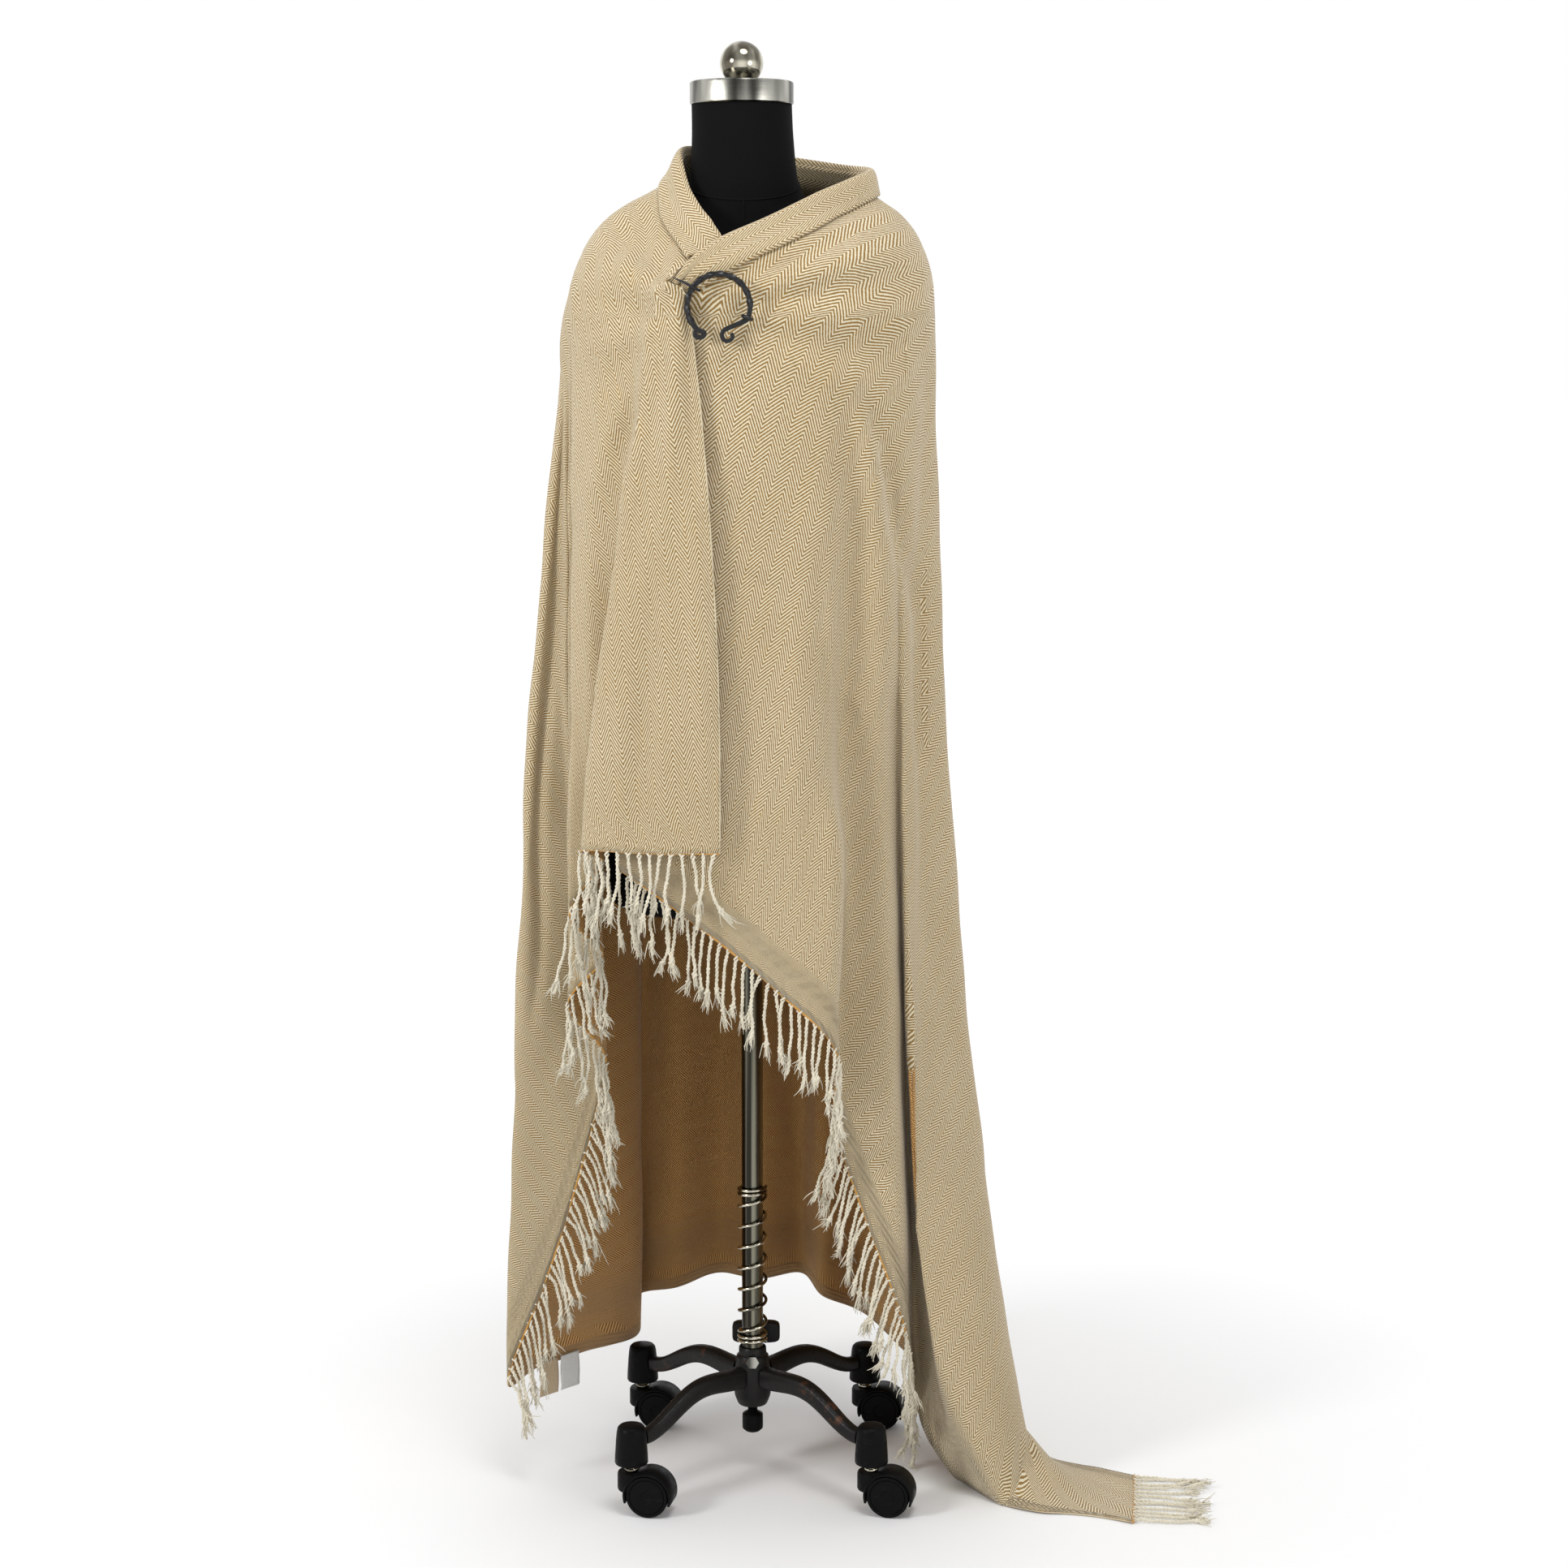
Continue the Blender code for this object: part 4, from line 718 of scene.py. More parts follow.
def crease(grid, normals):
    """Moves the cloth out and in along the creases, and a little unevenly all over."""
    at = np.arange(len(grid))[:, None] / BETWEEN
    x, z = grid[..., 0], grid[..., 2]
    lift = np.zeros(x.shape)
    part, start, power = CREASE_TAPER
    for (first, last), runs in CREASES.items():
        inside = at >= NAMES.index(first) - CREASE_MARGIN
        inside = inside & (at <= NAMES.index(last) + CREASE_MARGIN)
        for x0, z0, x1, z1, height, width in runs:
            run = np.array([x1 - x0, z1 - z0])
            share = ((x - x0) * run[0] + (z - z0) * run[1]) / (run @ run)
            near = np.clip(share, 0, 1)
            away = np.hypot(x - x0 - near * run[0], z - z0 - near * run[1])
            taper = np.sin(np.pi * np.clip(share * part + start, 0, 1)) ** power
            lift += height * np.exp(-((away / width) ** 2)) * taper * inside
    spacing = np.linalg.norm(np.gradient(grid, axis=0), axis=2) * BETWEEN
    reach, waves, start = FOLD_WANDER
    for place, z0, to_place, z1, height, width in LONG_FOLDS:
        share = (z - z0) / (z1 - z0)
        middle = place + (to_place - place) * share + reach * np.sin(waves * z + start * place)
        taper = np.sin(np.pi * np.clip(share, 0, 1)) ** FOLD_TAPER
        lift += height * np.exp(-(((at - middle) * spacing / width) ** 2)) * taper
    y = grid[..., 1]
    for waves, size, turn in UNEVEN:
        lift += size * np.sin(waves * x + turn) * np.sin(waves * 0.6 * z + 0.8 * waves * y + turn * 2)
    moved = grid + normals * lift[..., None]
    moved[..., 2] = np.maximum(moved[..., 2], LOWEST)
    return moved


def to_mesh(name, points, faces, flat):
    """A sheet's mesh, with the place of each point on the flat cloth."""
    mesh = bpy.data.meshes.new(name)
    mesh.from_pydata(points.tolist(), [], faces.tolist())
    layer = mesh.uv_layers.new(name="weave")
    loops = np.empty(len(mesh.loops), np.int32)
    mesh.loops.foreach_get("vertex_index", loops)
    layer.data.foreach_set("uv", flat[loops].astype(np.float32).ravel())
    mesh.shade_smooth()
    mesh.update()
    return mesh


def grid_faces(used):
    """Four-sided faces of a grid, where all four corners are used."""
    numbers = np.arange(used.size).reshape(used.shape)
    corners = [numbers[:-1, :-1], numbers[:-1, 1:], numbers[1:, 1:], numbers[1:, :-1]]
    whole = used[:-1, :-1] & used[:-1, 1:] & used[1:, 1:] & used[1:, :-1]
    return np.stack([corner[whole] for corner in corners], axis=1)


def rounded(angles, power, flat):
    """How far a square with rounded corners reaches at each angle."""
    return (np.abs(np.cos(angles)) ** power + np.abs(np.sin(angles) / flat) ** power) ** (-1 / power)


class Shape:
    """Points and faces gathered for one mesh."""

    def __init__(self):
        self.points, self.faces, self.count = [], [], 0

    def rings(self, rings):
        """A skin through rings of points, with a cap on each end."""
        rings = np.asarray(rings, float)
        steps, sides = rings.shape[:2]
        faces = [range(sides)[::-1]]
        for here in range(0, (steps - 1) * sides, sides):
            beyond = here + sides
            for side in range(sides):
                turn = (side + 1) % sides
                faces.append((here + side, here + turn, beyond + turn, beyond + side))
        faces.append(range((steps - 1) * sides, steps * sides))
        self.points.append(rings.reshape(-1, 3))
        self.faces += [[corner + self.count for corner in face] for face in faces]
        self.count += steps * sides

    def tube(self, line, radii, sides, reference, section=None, twist=None):
        """A skin round a line. A section rounds it less, and twist turns it."""
        line = np.asarray(line, float)
        heading = unit(np.gradient(line, axis=0))
        reference = np.broadcast_to(np.asarray(reference, float), line.shape)
        first = unit(reference - heading * (reference * heading).sum(axis=1, keepdims=True))
        second = np.cross(heading, first)
        angles = TAU * np.arange(sides) / sides
        size = rounded(angles, *section) if section else np.ones(sides)
        turned = angles[None, :] + (0 if twist is None else np.asarray(twist)[:, None])
        reach = np.broadcast_to(radii, len(line))[:, None] * size[None, :]
        rings = line[:, None] + first[:, None] * (np.cos(turned) * reach)[..., None]
        rings = rings + second[:, None] * (np.sin(turned) * reach)[..., None]
        self.rings(rings)

    def turned(self, profile, sides, place=(0, 0, 0), turn=None):
        """A solid turned about its axis from a profile of radius and height, bottom to top."""
        profile = np.asarray(profile, float)
        angles = TAU * np.arange(sides) / sides
        x = profile[:, :1] * np.cos(angles)
        y = profile[:, :1] * np.sin(angles)
        rings = np.stack([x, y, np.broadcast_to(profile[:, 1:], x.shape)], axis=2)
        if turn is not None:
            rings = rings @ np.array(turn).T
        self.rings(rings + np.array(place))

    def mesh(self, name, sharp=None):
        points = np.concatenate(self.points)
        mesh = bpy.data.meshes.new(name)
        mesh.from_pydata(points.tolist(), [], self.faces)
        shape = bmesh.new()
        shape.from_mesh(mesh)
        bmesh.ops.recalc_face_normals(shape, faces=shape.faces)
        shape.to_mesh(mesh)
        shape.free()
        mesh.shade_smooth()
        if sharp:
            mesh.set_sharp_from_angle(angle=math.radians(sharp))
        return mesh


UP = (0, 0, 1)
LYING = ((1, 0, 0), (0, 0, -1), (0, 1, 0))  # turns an axis from +Z to +Y
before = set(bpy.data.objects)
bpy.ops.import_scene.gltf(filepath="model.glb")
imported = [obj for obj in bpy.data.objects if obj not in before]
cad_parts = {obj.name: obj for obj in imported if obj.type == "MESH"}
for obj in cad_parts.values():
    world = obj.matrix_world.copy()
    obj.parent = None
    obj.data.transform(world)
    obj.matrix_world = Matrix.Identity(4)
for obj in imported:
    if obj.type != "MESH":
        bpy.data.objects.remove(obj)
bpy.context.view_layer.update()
lowest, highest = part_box("pole")
POLE = Vector(((lowest.x + highest.x) / 2, (lowest.y + highest.y) / 2, 0))
ROOT = "cape_and_stand"


def add_piece(name, data, finish, replaced=(), body=ROOT):
    made = bpy.data.objects.new(name, data)
    made.location = POLE
    bpy.context.scene.collection.objects.link(made)
    data.materials.append(finish)
    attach(made, body)
    if replaced:
        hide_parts(*replaced)
    return made


def add_shape(name, shape, finish, replaced=(), sharp=None, body=ROOT):
    return add_piece(name, shape.mesh(name, sharp), finish, replaced, body)


def add_turned(name, finish, node, sharp, profile, sides, place=(0, 0, 0), turn=None):
    shape = Shape()
    shape.turned(profile, sides, place, turn)
    return add_shape(name, shape, finish, [node], sharp)


def add_tube(name, finish, node, sharp, *tube):
    shape = Shape()
    shape.tube(*tube)
    return add_shape(name, shape, finish, [node], sharp)


def srgb(red, green, blue):
    """A colour as it is seen, as the linear values that a shader takes."""
    values = [v / 12.92 if v <= 0.04045 else ((v + 0.055) / 1.055) ** 2.4 for v in (red, green, blue)]
    return (*values, 1)


class Nodes:
    """Short calls for the nodes of a material or of the world."""

    def __init__(self, tree):
        self.tree = tree

    def node(self, kind, inputs=(), output=0, **settings):
        made = self.tree.nodes.new("ShaderNode" + kind)
        for key, value in settings.items():
            setattr(made, key, value)
        for key, value in dict(inputs).items():
            self.give(made.inputs[key], value)
        return made.outputs[output]

    def give(self, socket, value):
        if isinstance(value, bpy.types.NodeSocket):
            self.tree.links.new(value, socket)
        else:
            socket.default_value = value

    def calc(self, operation, *values):
        return self.node("Math", dict(enumerate(values)), operation=operation)

    def vector(self, operation, inputs, output=0):
        return self.node("VectorMath", inputs, output, operation=operation)

    def apart(self, place):
        made = self.tree.nodes.new("ShaderNodeSeparateXYZ")
        self.give(made.inputs[0], place)
        return made.outputs

    def noise(self, place, scale, detail=2.0, roughness=0.5):
        inputs = {"Vector": place, "Scale": scale, "Detail": detail, "Roughness": roughness}
        return self.node("TexNoise", inputs)

    def streaks(self, place, scale, detail):
        """A noise drawn out along an axis, by its scale along each."""
        return self.noise(self.node("Mapping", {"Vector": place, "Scale": scale}), 1.0, detail)

    def mix(self, share, first, second, blend="MIX"):
        inputs = {0: share, 6: first, 7: second}
        return self.node("Mix", inputs, 2, data_type="RGBA", blend_type=blend)

    def band(self, value, low, high, to_low=0.0, to_high=1.0, shape="SMOOTHSTEP"):
        inputs = {0: value, 1: low, 2: high, 3: to_low, 4: to_high}
        return self.node("MapRange", inputs, interpolation_type=shape)


class Finish(Nodes):
    """A procedural material. Its uniform values go by the names of the shader's sockets."""

    def __init__(self, name, roughness, metallic=0.0, **uniform):
        self.material = bpy.data.materials.new(name)
        self.material.use_nodes = True
        super().__init__(self.material.node_tree)
        self.shader = self.tree.nodes["Principled BSDF"]
        self.shader.inputs["Roughness"].default_value = roughness
        self.shader.inputs["Metallic"].default_value = metallic
        for key, value in uniform.items():
            name = key.replace("_", " ").title().replace("Ior", "IOR")
            self.shader.inputs[name].default_value = value

    def place(self):
        return self.node("TexCoord", output=3)

    def bump(self, height, distance, strength=1.0):
        inputs = {"Height": height, "Distance": distance, "Strength": strength}
        self.give(self.shader.inputs["Normal"], self.node("Bump", inputs))

    def colour(self, value):
        self.give(self.shader.inputs["Base Color"], value)

    def roughness(self, value):
        self.give(self.shader.inputs["Roughness"], value)


CREAM = srgb(0.845, 0.805, 0.70)
ECRU = srgb(0.81, 0.765, 0.65)
GOLD = srgb(0.465, 0.365, 0.195)
OLD_GOLD = srgb(0.59, 0.46, 0.25)
OFF_WHITE = srgb(0.90, 0.875, 0.80)


def herringbone(name, painted_shade):
    """Cream and gold twill, whose diagonals turn back at each column. The given tint is painted shade,
    multiplied in and faded out upwards.
    """
    made = Finish(name, 0.9, sheen_weight=0.25, sheen_roughness=0.45, specular_ior_level=0.2)
    flat = made.node("UVMap", uv_map="weave")
    wander = made.node("TexNoise", {"Vector": flat, "Scale": DRIFT_SCALE}, 1)
    drift = made.vector("SUBTRACT", {0: wander, 1: (0.5, 0.5, 0.5)})
    flat = made.vector("ADD", {0: flat, 1: made.vector("SCALE", {0: drift, "Scale": DRIFT})})
    across, along, _ = made.apart(flat)
    fold = made.calc("PINGPONG", across, COLUMN)
    phase = made.calc("DIVIDE", made.calc("ADD", along, made.calc("MULTIPLY", fold, SLOPE)), PITCH)
    wave = made.calc("SINE", made.calc("MULTIPLY", phase, TAU))
    ends = made.streaks(flat, (1000.0, 240.0, 1.0), 1.0)
    picks = made.streaks(flat, (240.0, 1000.0, 1.0), 1.0)
    yarn = made.calc("ADD", made.calc("MULTIPLY", ends, 0.5), made.calc("MULTIPLY", picks, 0.5))
    broken = made.calc("MULTIPLY", made.calc("SUBTRACT", yarn, 0.5), 3.2)
    line = made.band(made.calc("ADD", wave, broken), -0.55, 0.55)
    slub = made.band(made.streaks(flat, (420.0, 18.0, 1.0), 0.0), 0.66, 0.78)
    tone = made.band(made.noise(flat, 6.0, 3.0), 0.2, 0.8)
    colour = made.mix(line, made.mix(yarn, GOLD, OLD_GOLD), made.mix(tone, ECRU, CREAM))
    colour = made.mix(made.calc("MULTIPLY", slub, 0.16), colour, srgb(0.76, 0.62, 0.36))
    # painted shade: the given colour is multiplied in, fading out upwards between the two heights
    below = made.band(made.apart(made.place())[2], *INNER_SHADE_HEIGHTS, 1.0, 0.0)
    made.colour(made.mix(below, colour, painted_shade, "MULTIPLY"))
    height = made.calc("ADD", made.calc("MULTIPLY", line, 0.6), made.calc("MULTIPLY", yarn, 0.8))
    made.bump(height, 0.0005, 0.9)
    return made.material


def yarn_finish(name, light, dark):
    made = Finish(name, 0.92, sheen_weight=0.3, sheen_roughness=0.5, specular_ior_level=0.15)
    place = made.place()
    fuzz = made.noise(place, 900.0, 3.0)
    patch = made.noise(place, 60.0, 2.0)
    made.colour(made.mix(made.calc("MULTIPLY", made.calc("ADD", fuzz, patch), 0.5), dark, light))
    made.bump(fuzz, 0.0004, 0.7)
    return made.material


def jersey():
    made = Finish("black jersey", 0.85, sheen_weight=0.02, sheen_roughness=0.4, specular_ior_level=0.05)
    place = made.place()
    patch = made.noise(place, 9.0, 3.0)
    made.colour(made.mix(patch, srgb(0.045, 0.047, 0.047), srgb(0.07, 0.072, 0.072)))
    made.bump(made.streaks(place, (1400.0, 1400.0, 500.0), 1.0), 0.0003, 0.6)
    return made.material


def metal(name, light, dark, roughness, grain, reflection_scale, bump):
    made = Finish(name, roughness, 1.0)
    place = made.place()
    # painted reflections: streaks mix a light and a dark metal colour that stand for the surroundings
    # mirrored in the metal; the same streaks also vary the roughness
    painted_reflections = made.streaks(place, reflection_scale, 2.0)
    made.colour(made.mix(made.band(painted_reflections, 0.38, 0.62), dark, light))
    made.roughness(made.band(painted_reflections, 0.3, 0.75, roughness, roughness * 1.6))
    made.bump(made.streaks(place, grain, 3.0), bump)
    return made.material


def enamel():
    """Black paint on a rough casting, with rust where it is worn and at one mark on a leg."""
    made = Finish("black enamel", 0.42, specular_ior_level=0.22)
    place = made.place()
    cast = made.noise(place, 260.0, 4.0)
    worn = made.band(made.noise(place, 34.0, 5.0, 0.6), 0.63, 0.72)
    near = made.band(made.vector("DISTANCE", {0: place, 1: RUST_PLACE}, 1), *RUST_REACH)
    mark = made.calc("MULTIPLY", near, made.band(made.noise(place, 120.0, 3.0), 0.45, 0.6))
    rust = made.calc("MAXIMUM", made.calc("MULTIPLY", worn, 0.35), mark)
    black = made.mix(cast, srgb(0.06, 0.058, 0.055), srgb(0.095, 0.09, 0.085))
    made.colour(made.mix(rust, black, srgb(0.36, 0.22, 0.13)))
    made.roughness(made.band(cast, 0.3, 0.7, 0.34, 0.52))
    made.bump(cast, 0.0006, 0.6)
    return made.material


def plastic():
    made = Finish("black plastic", 0.4, specular_ior_level=0.06)
    place = made.place()
    scuff = made.streaks(place, (60.0, 60.0, 200.0), 4.0)
    made.colour(made.mix(made.band(scuff, 0.55, 0.8), srgb(0.055, 0.055, 0.056), srgb(0.10, 0.10, 0.10)))
    made.roughness(made.band(scuff, 0.3, 0.8, 0.34, 0.55))
    made.bump(made.noise(place, 700.0, 2.0), 0.0002, 0.5)
    return made.material


def forged():
    made = Finish("forged steel", 0.34, 0.7)
    place = made.place()
    scale = made.noise(place, 420.0, 4.0, 0.6)
    dents = made.noise(place, 160.0, 2.0)
    made.colour(made.mix(scale, srgb(0.10, 0.10, 0.105), srgb(0.23, 0.23, 0.235)))
    made.roughness(made.band(scale, 0.3, 0.7, 0.24, 0.46))
    made.bump(made.calc("ADD", scale, dents), 0.0004, 0.7)
    return made.material


def tape(name, light, dark):
    made = Finish(name, 0.7, sheen_weight=0.1)
    flat = made.node("UVMap", uv_map="weave")
    rib = made.calc("SINE", made.calc("MULTIPLY", made.apart(flat)[1], TAU / TAPE_RIB))
    made.colour(made.mix(made.noise(flat, 240.0, 3.0), dark, light))
    made.bump(rib, 0.0002, 0.5)
    return made.material


WEAVE = herringbone("herringbone", PLAIN)
# the cloth's inner face, with painted shade multiplied into its colour
SHADED_REVERSE = herringbone("herringbone reverse with painted shade", INNER_SHADE_TINT)
YARN = yarn_finish("fringe yarn", OFF_WHITE, srgb(0.80, 0.765, 0.68))
SELVEDGE = yarn_finish("selvedge yarn", srgb(0.83, 0.79, 0.69), srgb(0.72, 0.66, 0.52))
GOLD_YARN = yarn_finish("gold yarn", srgb(0.83, 0.64, 0.34), srgb(0.68, 0.47, 0.20))
JERSEY = jersey()
# light and dark colours of the painted reflections on the steel, the chrome and the dull chrome
STEEL_REFLECTION_LIGHT, STEEL_REFLECTION_DARK = srgb(0.74, 0.735, 0.70), srgb(0.27, 0.265, 0.245)
DRAWN = (300, 300, 8)  # the fine grain of drawn tube and wire
BRIGHT = srgb(0.84, 0.82, 0.75)
CHROME = metal("chrome", BRIGHT, srgb(0.42, 0.40, 0.35), 0.09, DRAWN, (45, 45, 20), 0.00002)
DULL = srgb(0.52, 0.51, 0.45)
DULL_CHROME = metal("dull chrome", DULL, srgb(0.19, 0.18, 0.16), 0.2, DRAWN, (130, 130, 1), 0.00004)
BRUSHED = metal("brushed steel", STEEL_REFLECTION_LIGHT, STEEL_REFLECTION_DARK, 0.22, (8, 8, 1500), (34, 34, 5), 0.00012)
ENAMEL = enamel()
PLASTIC = plastic()
FORGED = forged()
TAN_TAPE = tape("tan tape", srgb(0.80, 0.72, 0.60), srgb(0.72, 0.63, 0.50))
WHITE_TAPE = tape("white tape", srgb(0.90, 0.90, 0.89), srgb(0.82, 0.82, 0.81))

FOOT = SHOULDER_STEPS + DROP_STEPS  # the row of the grid where the cloth ends


def shell(made, thickness=THICKNESS):
    solid = made.modifiers.new("thickness", "SOLIDIFY")
    solid.thickness = thickness
    solid.offset = 0.0
    return solid


def make_shawl():
    """The whole cloth as one sheet. Returns its grid, its normals and its piece."""
    grid, used = with_train(cloth_grid(BETWEEN, SHOULDER_STEPS, DROP_STEPS), BETWEEN, TRAIN_STEPS)
    hanging = normals_of(grid[:, : FOOT + 1])
    first, last = TRAIN_FIRST * BETWEEN, TRAIN_LAST * BETWEEN
    below = np.repeat(hanging[:, -1:], grid.shape[1] - FOOT - 1, axis=1)
    normals = np.concatenate([hanging, below], axis=1)
    normals[first : last + 1] = normals_of(grid[first : last + 1])
    grid = crease(grid, normals)
    whole = used.ravel()
    faces = (np.cumsum(whole) - 1)[grid_faces(used)]
    mesh = to_mesh("shawl", grid.reshape(-1, 3)[whole], faces, flat_places().reshape(-1, 2)[whole])
    stretches = ("flap", "left-front", "left-back", "right-back", "right-side", "right-front", "train")
    # the first material, with the painted shade, is for the cloth's inner face; the thickened side takes the
    # plain weave
    made = add_piece("shawl", mesh, SHADED_REVERSE, ["cape-" + name for name in stretches])
    mesh.materials.append(WEAVE)
    shell(made).material_offset = 1
    return grid, normals, made


def make_neck_fold(grid, normals):
    """The top of the cloth, rolled out over itself round the neck. Returns its sizes too."""
    first = column_of("left panel")
    section = smooth(COLLAR_SECTION, np.linspace(0, len(COLLAR_SECTION) - 1, COLLAR_STEPS))
    necks = np.interp(np.arange(len(grid)) / BETWEEN, np.arange(len(FOLDS)), [fold[1] for fold in FOLDS])
    depths = COLLAR_DEPTH * np.interp(necks, *np.transpose(COLLAR_WIDTHS))
    rows = []
    for at in range(first, len(grid)):
        column = grid[at, :COLLAR_REACH]
        down = section[:, 0] * depths[at]
        placed = along_line(down, walk_of(column), column)
        placed += np.maximum(-down, 0)[:, None] * unit(column[0] - column[3])
        rows.append(placed + normals[at, COLLAR_ROW] * section[:, 1:])
    rows = np.array(rows)
    for end, beside, length, narrow in COLLAR_ENDS:
        way = unit(rows[end] - rows[beside])
        out = normals[first if end == 0 else -1, COLLAR_ROW]
        spread = rows[end] - rows[end].mean(axis=0)
        above = (spread @ out)[:, None] * out
        grown = []
        for share, thick in COLLAR_END:
            inward = above * (1 - thick) + (spread - above) * narrow * share**2
            grown.append(rows[end] + way * length * share - inward)
        rows = np.concatenate([grown[::-1], rows] if end == 0 else [rows, grown])
    along = walk_of(rows[:, COLLAR_STEPS // 2 - 1]) + COLLAR_WEAVE
    across = walk_of(section * (COLLAR_DEPTH, 1))
    flat = np.stack(np.meshgrid(-across, along), axis=2).reshape(-1, 2)
    faces = grid_faces(np.ones(rows.shape[:2], bool))
    mesh = to_mesh("neck-fold", rows.reshape(-1, 3), faces, flat)
    made = add_piece("neck-fold", mesh, WEAVE, ["collar-left", "collar-back", "collar-right"])
    shell(made, THICKNESS * 0.8)
    return made, (float(across[-1]), float(along[-1] - along[0]))


def edge_of(grid, normals, first, last, row):
    """Places along an edge, with the ways off the edge, out of the cloth and along it."""
    columns = slice(first, last + 1)
    place = grid[columns, row]
    along = unit(np.gradient(place, axis=0))
    away = place - grid[columns, row - 3]
    away = unit(away - along * (away * along).sum(axis=1, keepdims=True))
    return walk_of(place), (place, away, normals[columns, row], along)


def hanging_way(away, along):
    """Straight down, or as near to it as leaves the cords of a steep edge apart."""
    gravity = np.array((0.0, 0.0, -1.0))
    share = gravity @ along
    if abs(share) < math.cos(LEAST_ANGLE):
        return gravity
    return unit(along * math.copysign(math.cos(LEAST_ANGLE), share) + away * math.sin(LEAST_ANGLE))


def twisted_cord(shape, root, away, out, along, way, length, chance):
    """A cord of two plies from the cloth's edge, with a knot and a frayed end."""
    share = np.linspace(0, 1, CORD_STEPS + 1)
    sway, drift, lean = chance.normal(0, CORD_SWAY)
    line = root + way * (length * share)[:, None]
    line += away * (ROOT_OUT * (1 - (1 - share) ** 6))[:, None]
    line += along * (sway * np.sin(np.pi * share) + drift * share**2)[:, None]
    line += out * (lean * share**1.5 + CORD_CRINKLE * np.sin(chance.uniform(1.3, 2.6) * TAU * share))[:, None]
    line += along * (CORD_CRINKLE * np.sin(chance.uniform(1.2, 2.4) * TAU * share + 1) * share)[:, None]
    line[:, 2] = np.maximum(line[:, 2], FLOOR_SPACE * 0.7)
    knot = np.exp(-(((share - KNOT_AT) / KNOT_SPREAD) ** 2))
    spread = 1 + 1.5 * np.exp(-share * length / 0.003)
    turn = share * length / PLY_TURN * TAU + chance.uniform(0, TAU)
    heading = unit(np.gradient(line, axis=0))
    first = unit(out - heading * (heading @ out)[:, None])
    second = np.cross(heading, first)
    reach = PLY_REACH * (spread + 0.7 * knot)
    radii = PLY_RADIUS * (1 + 0.75 * knot) * np.clip(1.35 - share * 0.42, 0.8, 1.0)
    for ply in (0, np.pi):
        placed = line + first * (np.cos(turn + ply) * reach)[:, None]
        placed += second * (np.sin(turn + ply) * reach)[:, None]
        placed[:, 2] = np.maximum(placed[:, 2], radii + 0.0004)
        shape.tube(placed, radii, PLY_SIDES, out + 0.01)
    at = int(CORD_STEPS * (KNOT_AT + 0.02))
    end = line[-1] + heading[-1] * 0.002
    for _ in range(FRAYS):
        start = line[at] + chance.normal(0, FRAY_START, 3)
        finish = end + chance.normal(0, FRAY_END, 3)
        middle = (start + finish) / 2 + chance.normal(0, FRAY_BEND, 3)
        hair = smooth([start, middle, finish], np.linspace(0, 2, 4))
        hair[:, 2] = np.maximum(hair[:, 2], 0.0014)
        shape.tube(hair, np.array(HAIR), 3, out + 0.01)


def make_fringe(name, replaced, edge, seed, lies=False):
    walk, parts = edge
    chance = np.random.default_rng(seed)
    count = round(walk[-1] / CORD_PITCH)
    shape = Shape()
    for cord in range(count):
        middle = (cord + 0.5) * walk[-1] / count
        place, away, out, along = (along_line(middle, walk, part) for part in parts)
        away, out, along = unit(away), unit(out), unit(along)
        length = CORD_LENGTH * (1 + CORD_SPREAD * math.sin(cord * 2.4))
        if lies:
            way = unit(away * (1, 1, 0))
        else:
            way = hanging_way(away, along)
            length = min(length, max((place[2] - FLOOR_SPACE) / max(-way[2], 0.2), 0.012))
        twisted_cord(shape, place, away, out, along, way, length, chance)
    return add_shape(name, shape, YARN, [replaced])


def make_edging(name, lines, radius, finish):
    """A fine twisted thread along each of these edges of the cloth."""
    shape = Shape()
    for line in lines:
        walk = walk_of(line)
        fine = np.linspace(0, walk[-1], int(walk[-1] / THREAD_STEP))
        line = along_line(fine, walk, line)
        line[:, 2] = np.maximum(line[:, 2], radius + 0.0004)
        shape.tube(line, radius * (1 + 0.25 * np.sin(fine * THREAD_WAVES)), 6, (0.3, 0.9, 0.2))
    return add_shape(name, shape, finish)


LABELS = (
    # CAD node, name, finish, way along the hem, layers
    ("label-tan", "tan-label", TAN_TAPE, 0.018, 1),
    ("label-white", "white-label", WHITE_TAPE, 0.058, 2),
)


def make_labels(grid):
    """Two blank care labels, sewn inside the hem at the left. The white one is two layers."""
    start, end = grid[column_of("left side"), FOOT], grid[column_of("left back"), FOOT]
    way = unit(end - start)
    inward = unit(np.cross(way, UP))
    inward = inward * np.sign(inward @ -start)
    a, d = np.meshgrid(np.linspace(-0.5, 0.5, 9), np.linspace(0, 1, 13), indexing="ij")
    faces = grid_faces(np.ones(a.shape, bool))
    for node, name, finish, along, layers in LABELS:
        top = start + way * along + inward * LABEL_INSET
        top[2] += LABEL_TUCK
        points = []
        for layer in range(layers):
            bow = 0.0016 * np.sin(np.pi * d) * (1 - 2 * layer) + 0.0008 * a * d + layer * 0.0012
            placed = top + way * (a * LABEL_WIDTH)[..., None] + inward * bow[..., None]
            placed[..., 2] -= d * (LABEL_HEIGHT - 0.002 * layer)
            points.append(placed.reshape(-1, 3))
        flat = np.stack([a * LABEL_WIDTH, d * LABEL_HEIGHT], axis=2).reshape(-1, 2)
        layered = np.concatenate([faces + layer * a.size for layer in range(layers)])
        data = to_mesh(name, np.concatenate(points), layered, np.tile(flat, (layers, 1)))
        label = add_piece(name, data, finish, [node])
        shell(label, 0.0005)
        stitches = Shape()
        for step in range(STITCHES):
            middle = top + way * ((step - STITCHES // 2) * STITCH_PITCH) - inward * 0.0006
            middle[2] -= 0.0022
            ends = [middle + way * run - inward * dip for run, dip in STITCH]
            stitches.tube(ends, STITCH_RADIUS, 5, inward)
        add_shape(name + "-stitches", stitches, YARN)


